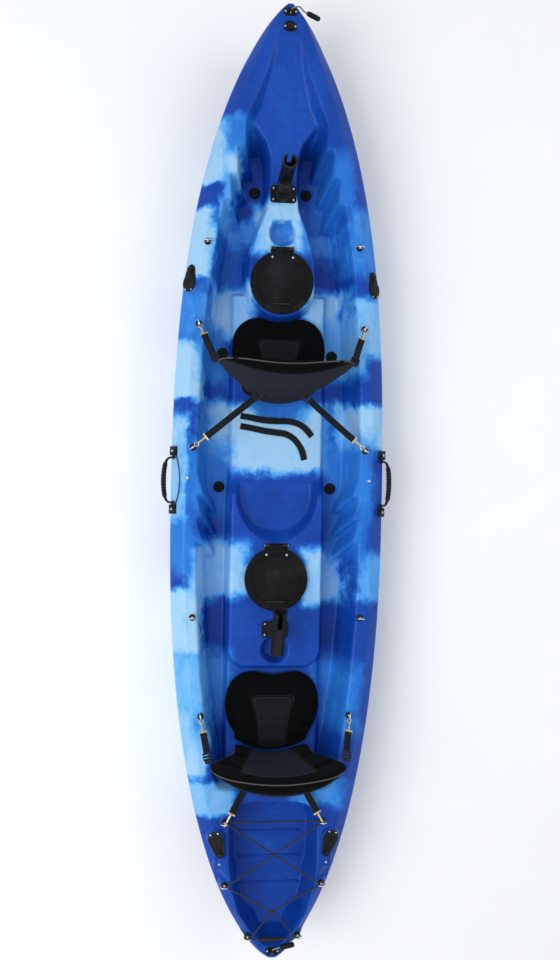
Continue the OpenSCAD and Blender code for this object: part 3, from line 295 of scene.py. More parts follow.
def soften(field, spread):
    """Rounds the steps of a raster of heights."""
    reach = int(math.ceil(3 * spread / CELL))
    weights = np.exp(-0.5 * (np.arange(-reach, reach + 1) * CELL / spread) ** 2)
    weights /= weights.sum()
    for axis in (0, 1):
        padded = np.pad(field, [(reach, reach) if a == axis else (0, 0) for a in (0, 1)], mode="edge")
        span = np.arange(field.shape[axis])
        field = sum(w * np.take(padded, span + i, axis) for i, w in enumerate(weights))
    return field


def join(low, high, ease):
    """The higher of two surfaces, with a fillet where they meet."""
    blend = np.maximum(0, ease - np.abs(low - high)) / ease
    return np.maximum(low, high) + ease * blend**2 / 4


def plateau(distance, top, drop):
    """A pad whose sides fall away outside its outline."""
    return top - np.maximum(0, distance) * drop


def box_distance(x, y, half_x, half_y):
    """Distance outside a rectangle."""
    return np.maximum(np.abs(x) - half_x, np.abs(y) - half_y)


def rim_pad(place, outline, drop):
    """A pad in the plane of a rim frame, on both gunwales; outline takes the pad's own x and y."""
    normal = place.to_3x3() @ Vector((0, 0, 1))
    middle = place.translation
    top = middle.z - ((wide - middle.x) * normal.x + (plan_y - middle.y) * normal.y) / normal.z
    back = np.array(place.inverted())
    own = [back[i, 0] * wide + back[i, 1] * plan_y + back[i, 2] * top + back[i, 3] for i in (0, 1)]
    return plateau(outline(*own), top, drop)


def flush_outline(x, y):
    """Egg-shaped outline of a flush rod holder's pad."""
    share = np.clip((0.018 - y) / 0.056, 0, 1)
    return np.hypot(x, y - 0.018 + 0.056 * share) - (0.035 - 0.013 * share)


PAD_LIFT = 0.002
END_PAD_LIFT = 0.003
BOW_EYE_Y = HALF_LENGTH - 0.032
STERN_EYE_Y = -HALF_LENGTH + 0.027
ANCHORS = [(0.935, 0.072), (0.615, 0.080), (0.130, 0.086), (-0.538, 0.086), (-0.923, 0.090),
           (-1.334, 0.112), (-1.572, 0.036), (-1.766, 0.022)]
FLUSH_LEAN = math.radians(16)
FLUSH_SPOTS = [(0.792, 0.028, RIM_ANGLE, 0.003, math.pi), (-1.414, 0.064, FLUSH_LEAN, 0.009, 0.0)]
flush_frames = [rim_frame(*spot[:4]) @ Matrix.Rotation(spot[4], 4, "Z") for spot in FLUSH_SPOTS]
FILLET = 0.004
heights = soften(heights, SOFT_EDGE)
for y, inset_at, radius in [(*a, 0.015) for a in ANCHORS] + [(0.010, 0.068, 0.009)]:
    spot = np.hypot(wide - half_beam(y) + inset_at, plan_y - y) - radius
    heights = join(heights, plateau(spot, sheer(y) + PAD_LIFT, 36 / 9), FILLET)
for place in flush_frames:
    heights = join(heights, rim_pad(place, flush_outline, 25 / 4), FILLET)
HANDLE_IN = 0.018
CAP_Y = 0.115
for y in (-CAP_Y, CAP_Y):
    place = Matrix.Translation((half_beam(0) - HANDLE_IN, y, float(rim_top(0, HANDLE_IN))))
    place = place @ Matrix.Rotation(RIM_ANGLE, 4, "Y") @ Matrix.Translation((0, 0, 0.002))
    cap_pad = rim_pad(place, lambda x, y: box_distance(x, y, 0.014, 0.019), 7 / 3)
    heights = join(heights, cap_pad, FILLET)
for y, half_x, half_y in ((BOW_EYE_Y, 0.031, 0.018), (HALF_LENGTH - 0.086, 0.029, 0.023),
                          (STERN_EYE_Y, 0.031, 0.017)):
    pad = plateau(box_distance(plan_x, plan_y - y, half_x, half_y), sheer(y) + END_PAD_LIFT, 18 / 5)
    heights = join(heights, pad, FILLET)
SIDE_PAD_Y = -1.497
SIDE_PAD_IN = 0.044
side_pad = box_distance(wide - half_beam(SIDE_PAD_Y) + SIDE_PAD_IN, plan_y - SIDE_PAD_Y, 0.020, 0.018)
heights = join(heights, plateau(side_pad, rim_top(SIDE_PAD_Y, SIDE_PAD_IN) + 0.005, 28 / 5), FILLET)


def height_at(x, y):
    """Height of the deck at points of the plan, between the cells of the raster."""
    u = np.clip((x - raster_x[0]) / CELL, 0, len(raster_x) - 1.001)
    v = np.clip((y - raster_y[0]) / CELL, 0, len(raster_y) - 1.001)
    i, j = u.astype(int), v.astype(int)
    u, v = u - i, v - j
    return ((heights[j, i] * (1 - u) + heights[j, i + 1] * u) * (1 - v)
            + (heights[j + 1, i] * (1 - u) + heights[j + 1, i + 1] * u) * v)


def rounded(line):
    """One round of corner cutting along the middle axis of a stack of polylines."""
    near = 0.75 * line[:, :-1] + 0.25 * line[:, 1:]
    far = 0.25 * line[:, :-1] + 0.75 * line[:, 1:]
    inner = np.stack([near, far], 2).reshape(len(line), -1, line.shape[2])
    return np.concatenate([line[:, :1], inner[:, 1:-1], line[:, -1:]], 1)


def new_piece(name, points, faces):
    """A smooth mesh object in the scene."""
    mesh = bpy.data.meshes.new(name)
    mesh.from_pydata([tuple(p) for p in points], [], [tuple(int(i) for i in f) for f in faces])
    mesh.polygons.foreach_set("use_smooth", [True] * len(mesh.polygons))
    mesh.update()
    piece = bpy.data.objects.new(name, mesh)
    bpy.context.scene.collection.objects.link(piece)
    return piece


def grid_faces(rows, columns, around=False, closed=False):
    """Quads between rows of points; around joins the ends of each row, closed the last row to the first."""
    spots = np.arange(rows * columns).reshape(rows, columns)
    spots = np.pad(spots, [(0, int(closed)), (0, int(around))], mode="wrap")
    corners = [spots[:-1, :-1], spots[:-1, 1:], spots[1:, 1:], spots[1:, :-1]]
    return np.stack(corners, 2).reshape(-1, 4)


ROWS = 900
COLUMNS = 196
EDGE_IN = 0.014
along = np.linspace(-1, 1, ROWS)
station = HALF_LENGTH * (0.75 * along + 0.25 * np.sin(along * math.pi / 2))
beam, gunwale, bottom = half_beam(station), sheer(station), keel(station)
full = beam / HALF_WIDTH
edge_z = gunwale - RIM_DROP * fade(station, DROP_FADE)
lift = 0.080 * (1 - full)
depth = edge_z - bottom
edge_in = np.minimum(EDGE_IN, 0.3 * beam)
top_edge = height_at(beam - edge_in, station)
half_section = np.stack([np.stack(corner, 1) for corner in [
    (0 * full, bottom),
    (0.028 * full, bottom),
    (0.105 * full, bottom + np.minimum(0.026 * full + lift / 2, depth / 2)),
    (0.162 * full, bottom + np.minimum(lift, 0.55 * depth)),
    (0.218 * full, bottom + np.minimum(lift, 0.6 * depth)),
    (0.87 * beam, bottom + depth * (0.66 * (1 - full) + 0.34 * full)),
    (0.975 * beam, bottom + 0.8 * depth),
    (beam, edge_z),
    (beam - edge_in, top_edge),
]], 1)
half_section = rounded(rounded(half_section))
deck_x = np.linspace(-1, 1, COLUMNS)[None, :] * (beam - edge_in)[:, None]
deck_z = height_at(deck_x, np.repeat(station[:, None], COLUMNS, 1))
ring = np.concatenate([np.stack([deck_x, deck_z], 2), half_section[:, -2:0:-1],
                       half_section[:, :-1] * np.array([-1, 1])], 1)
around = ring.shape[1]
points = np.concatenate([ring[:, :, :1], np.repeat(station[:, None, None], around, 1), ring[:, :, 1:]], 2)
points = points.reshape(-1, 3)
faces = grid_faces(ROWS, around, True)
middles = points[faces].mean(1)
SCUPPERS = [(side * x, y) for x, y in ((0.107, 1.194), (0.228, 0.526), (0.232, -0.025)) for side in (-1, 1)]
SCUPPER_R = 0.017
open_here = np.zeros(len(faces), bool)
for x, y in SCUPPERS:
    open_here |= np.hypot(middles[:, 0] - x, middles[:, 1] - y) < SCUPPER_R + 0.002
for y, top in HATCHES:
    open_here |= (np.hypot(middles[:, 0], middles[:, 1] - y) < 0.109) & (middles[:, 2] > top - 0.05)
FLUSH_MOUTH = 0.012
FLUSH_RAKE = math.radians(20)
FLUSH_BORE = 0.027
for spot, place in zip(FLUSH_SPOTS, flush_frames):
    turn = Matrix.Rotation(spot[4], 4, "Z")
    bore = (place @ Matrix.Translation((0, FLUSH_MOUTH, 0.004)) @ turn.inverted()
            @ Matrix.Rotation(FLUSH_LEAN - spot[2], 4, "Y") @ turn
            @ Matrix.Rotation(FLUSH_RAKE, 4, "X"))
    axis = np.array((bore.to_3x3() @ Vector((0, 0, 1))))
    mirrored = np.column_stack([np.abs(middles[:, 0]), middles[:, 1:]]) - np.array(bore.translation)
    away = np.linalg.norm(np.cross(mirrored, axis), axis=1)
    open_here |= (away < FLUSH_BORE) & (np.abs(mirrored @ axis) < 0.045)
faces = [list(f) for f in faces[~open_here]]
faces += [list(range(around))[::-1], [(ROWS - 1) * around + i for i in range(around)]]
hull = new_piece("hull_skin", points, [f[::-1] for f in faces])


class Shade:
    """A value in a material's node tree. Sums and products of such values add Math nodes."""

    def __init__(self, tree, socket=None):
        self.tree = tree
        self.socket = socket

    def node(self, kind, settings=None, sockets=None, out=0):
        """Adds a node: its settings are set first, then its sockets are filled or linked."""
        made = self.tree.nodes.new(kind)
        for name, value in (settings or {}).items():
            if name == "stops":
                ramp = made.color_ramp
                while len(ramp.elements) < len(value):
                    ramp.elements.new(0.5)
                for stop, (place, colour) in zip(ramp.elements, value):
                    stop.position = place
                    stop.color = (*colour, 1)
            else:
                setattr(made, name, value)
        for name, value in (sockets or {}).items():
            if isinstance(value, Shade):
                self.tree.links.new(value.socket, made.inputs[name])
            else:
                made.inputs[name].default_value = value
        return Shade(self.tree, made.outputs[out])

    def out(self, name):
        """Another output of the same node."""
        return Shade(self.tree, self.socket.node.outputs[name])

    def math(self, operation, *values):
        return self.node("ShaderNodeMath", {"operation": operation}, dict(enumerate(values)))

    def vector(self, operation, *values):
        return self.node("ShaderNodeVectorMath", {"operation": operation}, dict(enumerate(values)))

    def __add__(self, other):
        return self.math("ADD", self, other)

    __radd__ = __add__

    def __sub__(self, other):
        return self.math("SUBTRACT", self, other)

    def __rsub__(self, other):
        return self.math("SUBTRACT", other, self)

    def __mul__(self, other):
        return self.math("MULTIPLY", self, other)

    __rmul__ = __mul__

    def __truediv__(self, other):
        return self.math("DIVIDE", self, other)

    def __abs__(self):
        return self.math("ABSOLUTE", self)

    def step(self, low, high):
        """0 below low and 1 above high, with a smooth change between."""
        return self.node("ShaderNodeMapRange", {"interpolation_type": "SMOOTHSTEP"},
                         {"Value": self, "From Min": low, "From Max": high})

    def noise(self, place, scale, detail=3.0, rough=0.55):
        return self.node("ShaderNodeTexNoise", None,
                         {"Vector": place, "Scale": scale, "Detail": detail, "Roughness": rough})

    def mix(self, factor, low, high):
        """Colour between two colours."""
        return self.node("ShaderNodeMix", {"data_type": "RGBA"}, {0: factor, 6: low, 7: high}, out=2)

    def bump(self, height, strength, distance):
        return self.node("ShaderNodeBump", None,
                         {"Height": height, "Strength": strength, "Distance": distance})


def new_finish(name, **constants):
    """A material with its unvarying sockets set on the shader, its tree, and the place on its object."""
    finish = bpy.data.materials.new(name)
    finish.use_nodes = True
    shader = finish.node_tree.nodes["Principled BSDF"]
    for socket, value in constants.items():
        shader.inputs[socket.replace("_", " ")].default_value = value
    tree = Shade(finish.node_tree)
    return finish, tree, tree.node("ShaderNodeTexCoord", out="Object")


def feed(finish, **varying):
    """Links the values that change over the surface to the shader."""
    shader = finish.node_tree.nodes["Principled BSDF"]
    for socket, value in varying.items():
        finish.node_tree.links.new(value.socket, shader.inputs[socket.replace("_", " ")])


def paint(finish, *pieces):
    """Gives a finish to pieces, or to CAD nodes by name."""
    for piece in pieces:
        mesh = (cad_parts[piece] if isinstance(piece, str) else piece).data
        mesh.materials.clear()
        mesh.materials.append(finish)


def fit(piece, finish, body, node=None):
    """Gives a piece its finish, the body it rides on and the CAD node it replaces."""
    paint(finish, piece)
    if node:
        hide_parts(node)
    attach(piece, body)


DEEP = (0.003, 0.034, 0.24)
ROYAL = (0.005, 0.058, 0.37)
MID = (0.020, 0.175, 0.60)
SKY = (0.10, 0.38, 0.80)
PALE = (0.31, 0.54, 0.77)
# cloudy bands of white powder, with painted highlights on brace ridges and a painted shade in the drink well
# among them: middle x and y, half reach along x and y, paleness and softness of the edge
POWDER_AND_PAINTED_LIGHT = [
    (-0.28, 1.29, 0.10, 0.120, 0.92, 0.08), (-0.37, 0.930, 0.10, 0.120, 1.00, 0.08),
    (-0.22, 0.93, 0.06, 0.13, 0.26, 0.35), (-0.01, 1.03, 0.10, 0.10, 0.92, 0.22),
    (0.17, 1.03, 0.07, 0.10, 0.34, 0.35), (0.33, 0.98, 0.07, 0.12, 0.46, 0.30),
    (0.19, 0.68, 0.08, 0.10, 0.90, 0.25), (-0.20, 0.69, 0.08, 0.10, 0.90, 0.25),
    (0.37, 0.63, 0.08, 0.11, 0.80, 0.20), (-0.40, 0.44, 0.09, 0.110, 1.00, 0.08),
    (-0.03, 0.18, 0.24, 0.13, 1.00, 0.22), (-0.27, 0.52, 0.06, 0.10, 0.45, 0.35),
    (0.25, 0.55, 0.08, 0.12, 0.72, 0.30), (0.35, 0.22, 0.09, 0.09, 0.90, 0.18),
    (-0.42, 0.02, 0.06, 0.22, 0.85, 0.15), (-0.40, -0.56, 0.10, 0.130, 1.00, 0.08),
    (-0.23, -0.36, 0.11, 0.11, 0.85, 0.25), (0.20, -0.38, 0.08, 0.11, 0.85, 0.22),
    (0.40, -0.38, 0.07, 0.10, 0.60, 0.25), (-0.34, -1.03, 0.08, 0.14, 0.85, 0.12),
    (-0.25, -0.84, 0.07, 0.13, 0.50, 0.40), (0.26, -0.86, 0.08, 0.12, 0.42, 0.40),
    (-0.25, -1.25, 0.09, 0.06, 0.75, 0.20), (0.18, -1.23, 0.10, 0.06, 0.50, 0.35),
    # painted highlights on the lit brace ridges: the entries at (0.20, 1.20), (-0.18, 1.36), (-0.28, 0.00),
    # (0.29, 0.02) and (0.30, -0.22)
    (0.20, 1.20, 0.06, 0.10, 0.36, 0.45), (-0.18, 1.36, 0.06, 0.06, 0.40, 0.40),
    (0.02, 1.46, 0.12, 0.14, 0.16, 0.50), (-0.28, 0.00, 0.08, 0.14, 0.40, 0.45),
    (0.29, 0.02, 0.08, 0.14, 0.42, 0.45), (0.30, -0.22, 0.06, 0.09, 0.36, 0.45),
    (-0.38, 0.66, 0.08, 0.10, 0.46, 0.30), (-0.41, -0.26, 0.08, 0.10, 0.40, 0.30),
    # painted shade on the drink well's wall: the entry at (0.0, 1.003), darker than the console patch around
    # it
    (0.0, 1.003, 0.045, 0.045, 0.52, 0.12), (-0.16, 1.02, 0.06, 0.05, 0.52, 0.40),
    # painted highlights on the port brace ridges: the entries at (-0.215, 1.15) and (-0.235, 1.05)
    (0.17, 0.99, 0.07, 0.04, 0.52, 0.40), (-0.215, 1.15, 0.025, 0.05, 0.62, 0.35),
    (-0.235, 1.05, 0.025, 0.05, 0.66, 0.35), (0.02, 0.30, 0.10, 0.05, 0.34, 0.45),
    (-0.36, -0.80, 0.08, 0.11, 0.72, 0.25),
]
hull_finish, shade, place = new_finish("moulded_polyethylene", Specular_IOR_Level=0.16, Coat_Weight=0.03,
                                       Coat_Roughness=0.18)
broad = shade.noise(place, 4.5, 4.0, 0.6).out("Color")
fine = shade.noise(place, 24.0, 3.0, 0.6).out("Color")


def shifted(noise, reach):
    """Offset of up to half a reach either way along each axis."""
    return shade.vector("MULTIPLY_ADD", noise, (reach,) * 3, (-reach / 2,) * 3)


warped = shade.vector("ADD", shade.vector("ADD", place, shifted(broad, 0.10)), shifted(fine, 0.045))
cloud_x = shade.node("ShaderNodeSeparateXYZ", None, {"Vector": warped})
cloud_y = cloud_x.out("Y")
ragged = shade.noise(place, 15.0, 6.0, 0.72) - 0.5
streaks = shade.noise(shade.vector("MULTIPLY", place, (22.0, 6.0, 22.0)), 1.0, 5.0, 0.68)
tone = shade.noise(place, 7.0, 5.0, 0.6) * 0.34 - 0.06
for middle_x, middle_y, reach_x, reach_y, pale, soft in POWDER_AND_PAINTED_LIGHT:
    across = abs(cloud_x - middle_x) / reach_x
    lengthways = abs(cloud_y - middle_y) / reach_y
    away = shade.math("SMOOTH_MAX", across, lengthways, 0.3) + ragged * (0.15 + 2.2 * soft)
    tone = tone + (pale * (0.66 + streaks * 0.66) - tone) * (1 - away.step(1 - soft, 1.12 + soft))
speckle = shade.noise(place, 46.0, 4.0, 0.65)
tone = tone + (speckle - 0.5) * 0.13
hull_colour = shade.node("ShaderNodeValToRGB", {"stops": [
    (0.0, DEEP), (0.14, ROYAL), (0.42, MID), (0.68, SKY), (0.95, PALE)]}, {"Fac": tone})
peel = shade.noise(place, 260.0, 2.0)
waves = shade.noise(place, 16.0, 2.0)
scuff = shade.noise(shade.vector("MULTIPLY", place, (30.0, 5.0, 30.0)), 9.0, 4.0, 0.7).step(0.60, 0.72)
hull_colour = shade.mix(scuff * 0.06, hull_colour, (*SKY, 1))
feed(hull_finish, Base_Color=hull_colour, Roughness=0.30 + peel * 0.10 + scuff * 0.18,
     Normal=shade.bump(peel * 0.4 + waves * 2.0, 0.25, 0.0012))
fit(hull, hull_finish, "hull", "hull_shell")

# Scupper liners: the moulded tubes that drain the foot wells through the bottom, flared at both ends.
# They are part of the same polyethylene skin.
def skin_low(x, y):
    """Height of the bottom skin at a point of the plan."""
    line = half_section[np.argmin(np.abs(station - y))]
    under = line[:np.argmax(line[:, 0]) + 1]
    return float(np.interp(abs(x), under[:, 0], under[:, 1]))


SCUPPER_SIDES = 40
LIP = 0.006
TUBE_TOP = [(SCUPPER_R + LIP, 0.0002), (SCUPPER_R + 0.003, 0.0006), (SCUPPER_R + 0.0008, -0.001),
            (SCUPPER_R, -0.005)]
TUBE_FOOT = [(SCUPPER_R, 0.010), (SCUPPER_R + 0.002, 0.002), (SCUPPER_R + LIP, -0.0004)]
for number, (x, y) in enumerate(SCUPPERS):
    profile = TUBE_TOP + TUBE_FOOT
    points = []
    for level, (radius, lift) in enumerate(profile):
        for angle in 2 * math.pi * np.arange(SCUPPER_SIDES) / SCUPPER_SIDES:
            rim_x, rim_y = x + radius * math.cos(angle), y + radius * math.sin(angle)
            base = FLOOR_Z if level < len(TUBE_TOP) else skin_low(rim_x, rim_y)
            points.append((rim_x, rim_y, max(base + lift, 0.0)))
    inward = grid_faces(len(profile), SCUPPER_SIDES, True)[:, [0, 3, 2, 1]]
    liner = new_piece(f"scupper_liner_{number}", points, inward)
    fit(liner, hull_finish, "hull")


# Tank ribs: three low half-round bars across the tank well floor that keep gear out of the wet. They are
# moulded with the hull, and their ends run down into the floor.
def unit(v):
    return v / np.linalg.norm(v, axis=-1, keepdims=True)


def swept(name, points, section, girth, closed=False, upward=(0, 0, 1)):
    """Bar whose section follows points, measured by girth round it and by length along it."""
    count, sides = len(points), len(girth) - 1
    before, after = np.roll(points, 1, 0), np.roll(points, -1, 0)
    if not closed:
        before[0], after[-1] = points[0], points[-1]
    way = unit(after - before)
    across = unit(np.cross(way, upward))
    up = np.cross(across, way)
    rings = points[:, None] + section[..., :1] * across[:, None] + section[..., 1:] * up[:, None]
    spans = count - (not closed)
    steps = np.linalg.norm(np.roll(points, -1, 0) - points, axis=1)
    reach = np.concatenate([[0], np.cumsum(steps)])[:spans + 1]
    measure = np.zeros((spans, sides, 4, 2))
    measure[:, :, [0, 3], 0] = girth[:-1, None]
    measure[:, :, [1, 2], 0] = girth[1:, None]
    measure[:, :, :2, 1] = reach[:-1, None, None]
    measure[:, :, 2:, 1] = reach[1:, None, None]
    measure = measure.reshape(-1, 2)
    faces = [*grid_faces(count, sides, True, closed)]
    if not closed:
        ends = np.arange(count * sides).reshape(count, sides)
        faces += [ends[0, ::-1], ends[-1]]
        measure = np.concatenate([measure, np.zeros((sides, 2)), np.tile((0, reach[-1]), (sides, 1))])
    piece = new_piece(name, rings.reshape(-1, 3), faces)
    layer = piece.data.uv_layers.new(name="measure")
    layer.data.foreach_set("uv", measure.ravel())
    return piece


def tube(name, points, radius, closed=False, sides=14, upward=(0, 0, 1)):
    """Round bar that follows points, of one radius or one for each point."""
    angle = 2 * math.pi * np.arange(sides + 1) / sides
    section = np.reshape(radius, (-1, 1, 1)) * np.stack([np.cos(angle), np.sin(angle)], 1)[:-1]
    return swept(name, points, section, np.max(radius) * angle, closed, upward)


RIB_R = 0.005
RIB_HALF = 0.75 * TANK_HALF
RIB_POINTS = 41
for number, y in enumerate((-1.425, -1.528, -1.632)):
    across = np.linspace(-RIB_HALF, RIB_HALF, RIB_POINTS)
    dip = 0.007 * np.maximum(0, 1 - (RIB_HALF - np.abs(across)) / 0.016) ** 2
    along = np.full(RIB_POINTS, y)
    top = height_at(0 * across, along) - dip
    rib = tube(f"tank_rib_{number}", np.stack([across, along, top], 1), RIB_R)
    fit(rib, hull_finish, "hull")

# Drain plugs, hatch seals: soft black rubber, pushed into the scuppers and laid round the hatch necks.
# Rubber is dull, a little grey with chalk, and picks up dust.
rubber_finish, shade, place = new_finish("black_rubber", Specular_IOR_Level=0.10)
dust = shade.noise(place, 60.0, 4.0, 0.65)
grit = shade.noise(place, 900.0, 2.0)
feed(rubber_finish, Base_Color=shade.mix(dust.step(0.45, 0.80) * 0.5, (0.010, 0.010, 0.011, 1),
                                         (0.035, 0.036, 0.040, 1)),
     Roughness=0.62 + dust * 0.2, Normal=shade.bump(grit + dust, 0.25, 0.0006))
plugs = [f"plug_{spot}_{side}" for spot in ("front", "seat", "middle") for side in ("left", "right")]
paint(rubber_finish, "hatch_seals", *plugs)

# Hatches, rod holders, flush holders, handles, buckles and eyes: black moulded nylon with a spark-eroded
# grain, greyer where hands and gear rub it. Screws hold them to the bosses of the hull.
plastic_finish, shade, place = new_finish("grained_black_nylon", Specular_IOR_Level=0.18)
grain = shade.node("ShaderNodeTexVoronoi", {"feature": "SMOOTH_F1"}, {"Vector": place, "Scale": 520.0})
handled = shade.noise(place, 22.0, 4.0, 0.6)
edges = shade.node("ShaderNodeNewGeometry", out="Pointiness").step(0.52, 0.60)
worn = edges * 0.35 + handled.step(0.55, 0.85) * 0.35
feed(plastic_finish, Base_Color=shade.mix(worn, (0.005, 0.005, 0.006, 1), (0.032, 0.034, 0.038, 1)),
     Roughness=0.42 + handled * 0.22, Normal=shade.bump(grain * 0.8 + handled * 0.4, 0.30, 0.0007))
ends = ("front", "rear")
FITTINGS = ("hatch_frame", "hatch_pull", "rod_base", "rod_post", "tilt_bolt", "rod_tube", "seat_buckles")
paired = [f"{end}_{part}" for end in ends for part in FITTINGS]
flush = [f"{part}_{end}_{side}" for part in ("flush", "cap") for end in ends for side in ("left", "right")]
paint(plastic_finish, *paired, *flush, "rod_lock_collars", "handle_caps", "anchor_buttons", "bungee_joiner",
      "bow_eye", "stern_eye", "drain_plug", "bow_toggle", "stern_toggle")

# Carry handles: arched nylon bows that swell to a ribbed grip. Their eyes turn on the stubs of two caps
# that are screwed to each gunwale.
HANDLE_REACH = 0.050
HANDLE_HANG = math.radians(42)
GRIP_R = 0.011
GRIP_HALF = 0.061
BOW_R = 0.0042
EYE_Y = 0.089
EYE_R = 0.008
EYE_BORE = 0.0043
EYE_HALF = 0.0045
EYE_SIDES = 32
EYE_PROFILE = [(EYE_BORE, -1), (EYE_BORE, 1), (EYE_R - 0.001, 1), (EYE_R, 0.75), (EYE_R, -0.75),
               (EYE_R - 0.001, -1)]
RIDGE_PITCH = 0.0122
low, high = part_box("right_handle_grip")
pivot = np.array([high.x - HANDLE_REACH * math.cos(HANDLE_HANG) - GRIP_R, 0,
                  low.z + HANDLE_REACH * math.sin(HANDLE_HANG) + GRIP_R])
hang = np.array(Matrix.Rotation(HANDLE_HANG, 3, "Y"))
sweep = np.radians(np.linspace(-89, 89, 161))
arch_y = EYE_Y * np.sin(sweep)
arch = np.stack([HANDLE_REACH * np.sqrt(np.cos(sweep)), arch_y, 0 * sweep], 1)
arch_radius = np.interp(np.abs(arch_y), [0, GRIP_HALF, GRIP_HALF + 0.010, EYE_Y],
                        [GRIP_R, GRIP_R - 0.001, BOW_R + 0.0016, BOW_R])
arch_radius -= 0.0006 * (np.abs(arch_y) < GRIP_HALF) * (1 + np.cos(2 * math.pi * arch_y / RIDGE_PITCH))
radius, width = np.array(EYE_PROFILE).T
angle = 2 * math.pi * np.arange(EYE_SIDES)[:, None] / EYE_SIDES
eye = np.stack([np.cos(angle) * radius, EYE_HALF * width + 0 * angle, np.sin(angle) * radius], 2)
eye_faces = grid_faces(EYE_SIDES, len(EYE_PROFILE), True, True)
for hand, side in (("left", -1), ("right", 1)):
    mirror = np.array([side, 1, 1])
    pieces = [tube(f"{hand}_bow", (arch @ hang.T + pivot) * mirror, arch_radius, sides=20,
                   upward=hang[:, 2] * mirror)]
    for end, name in ((-1, "aft"), (1, "fore")):
        points = ((eye + np.array([0, end * EYE_Y, 0])) @ hang.T + pivot) * mirror
        pieces.append(new_piece(f"{hand}_bow_eye_{name}", points.reshape(-1, 3), eye_faces[:, ::side]))
    for piece in pieces:
        fit(piece, plastic_finish, f"{hand}_handle", f"{hand}_handle_grip")

# Hatch lids: thicker black moulded discs with a matt stipple and faint swirl marks from wet hands, hinged
# on a steel pin at the bow side.
lid_finish, shade, place = new_finish("stippled_lid", Specular_IOR_Level=0.09)
stipple = shade.noise(place, 700.0, 2.0)
bloom = shade.noise(place, 9.0, 5.0, 0.62)
feed(lid_finish, Base_Color=shade.mix(bloom.step(0.40, 0.75), (0.005, 0.005, 0.0055, 1),
                                      (0.015, 0.016, 0.018, 1)),
     Roughness=0.50 + bloom * 0.20, Normal=shade.bump(stipple, 0.35, 0.0005))
paint(lid_finish, "front_hatch_lid", "rear_hatch_lid")

# Steel: deck rings, screws and hinge pins of polished stainless wire and bar, with fine drawing marks.
steel_finish, shade, place = new_finish("stainless_steel", Metallic=1.0)
drawn = shade.noise(place, 1500.0, 2.0)
stain = shade.noise(place, 120.0, 3.0)
feed(steel_finish, Base_Color=shade.mix(stain.step(0.5, 0.8) * 0.5, (0.72, 0.72, 0.74, 1),
                                        (0.46, 0.44, 0.42, 1)),
     Roughness=0.18 + drawn * 0.12 + stain * 0.12, Normal=shade.bump(drawn, 0.10, 0.0002))
paint(steel_finish, "anchor_rings", "deck_screws", "hatch_hinge_pins", "front_hatch_screws",
      "rear_hatch_screws")

# Snap hooks: cast brass with a plated shine, tarnished in the corners, one on the ring end of each strap.
brass_finish, shade, place = new_finish("cast_brass", Metallic=1.0)
cast = shade.noise(place, 420.0, 3.0)
tarnish = shade.noise(place, 70.0, 4.0)
feed(brass_finish, Base_Color=shade.mix(tarnish.step(0.42, 0.72), (0.80, 0.62, 0.34, 1),
                                        (0.38, 0.27, 0.14, 1)),
     Roughness=0.22 + tarnish * 0.25, Normal=shade.bump(cast, 0.18, 0.0004))
paint(brass_finish, "seat_snap_hooks")


# Seat cushions: foam pads sewn into black knitted fabric, with a grey waisted panel let into the middle and
# a corded seam round the edge. They lie loose on the seat pan, and a padded tongue runs to the backrest.
def frozen(piece):
    """Replaces a piece's mesh with what its modifiers make of it."""
    bpy.context.view_layer.update()
    shape = piece.evaluated_get(bpy.context.evaluated_depsgraph_get())
    mesh = bpy.data.meshes.new_from_object(shape)
    piece.modifiers.clear()
    piece.data = mesh


def vectors(items, name):
    """One vector of each vertex or normal of a mesh."""
    values = np.zeros(len(items) * 3)
    items.foreach_get(name, values)
    return values.reshape(-1, 3)


def coordinates(piece):
    return vectors(piece.data.vertices, "co")


def normals(piece):
    return vectors(piece.data.vertex_normals, "vector")


def set_coordinates(piece, values):
    piece.data.vertices.foreach_set("co", np.asarray(values, float).ravel())
    piece.data.update()


BRAID = 0.0031


def braid_finish(name, dark, light):
    """Braided sheath: two sets of strands wound opposite ways."""
    finish, tree, place = new_finish(name, Specular_IOR_Level=0.3)
    measure = tree.node("ShaderNodeUVMap", {"uv_map": "measure"})
    line = tree.node("ShaderNodeSeparateXYZ", None, {"Vector": measure})
    left = tree.math("SINE", (line + line.out("Y")) * (2 * math.pi / BRAID))
    right = tree.math("SINE", (line - line.out("Y")) * (2 * math.pi / BRAID))
    strands = tree.math("MAXIMUM", left, right) * 0.5 + 0.5
    fuzz = tree.noise(place, 300.0, 3.0)
    feed(finish, Base_Color=tree.mix(strands * 0.7 + fuzz * 0.3, dark, light), Roughness=0.55 + fuzz * 0.25,
         Normal=tree.bump(strands + fuzz * 0.3, 0.5, 0.0006))
    return finish


def edge_line(piece, middle, axes, count):
    """The outermost points of a pad round its middle, evened out, where its edge seam runs."""
    at = coordinates(piece) - middle
    first, second = at[:, axes[0]], at[:, axes[1]]
    sector = np.floor((np.arctan2(second, first) / (2 * math.pi) + 0.5) * count).astype(int) % count
    far = np.hypot(first, second)
    line = np.array([at[sector == k][np.argmax(far[sector == k])] for k in range(count)])
    depth = 3 - sum(axes)
    for turn in range(60):
        even = (np.roll(line, 1, 0) + 2 * line + np.roll(line, -1, 0)) / 4
        line[:, depth] = even[:, depth]
        if turn < 8:
            line = even
    return line + middle


PIPING_R = 0.0025
VOXEL = 0.005
SHRINK = 0.003
SWELL = 0.008


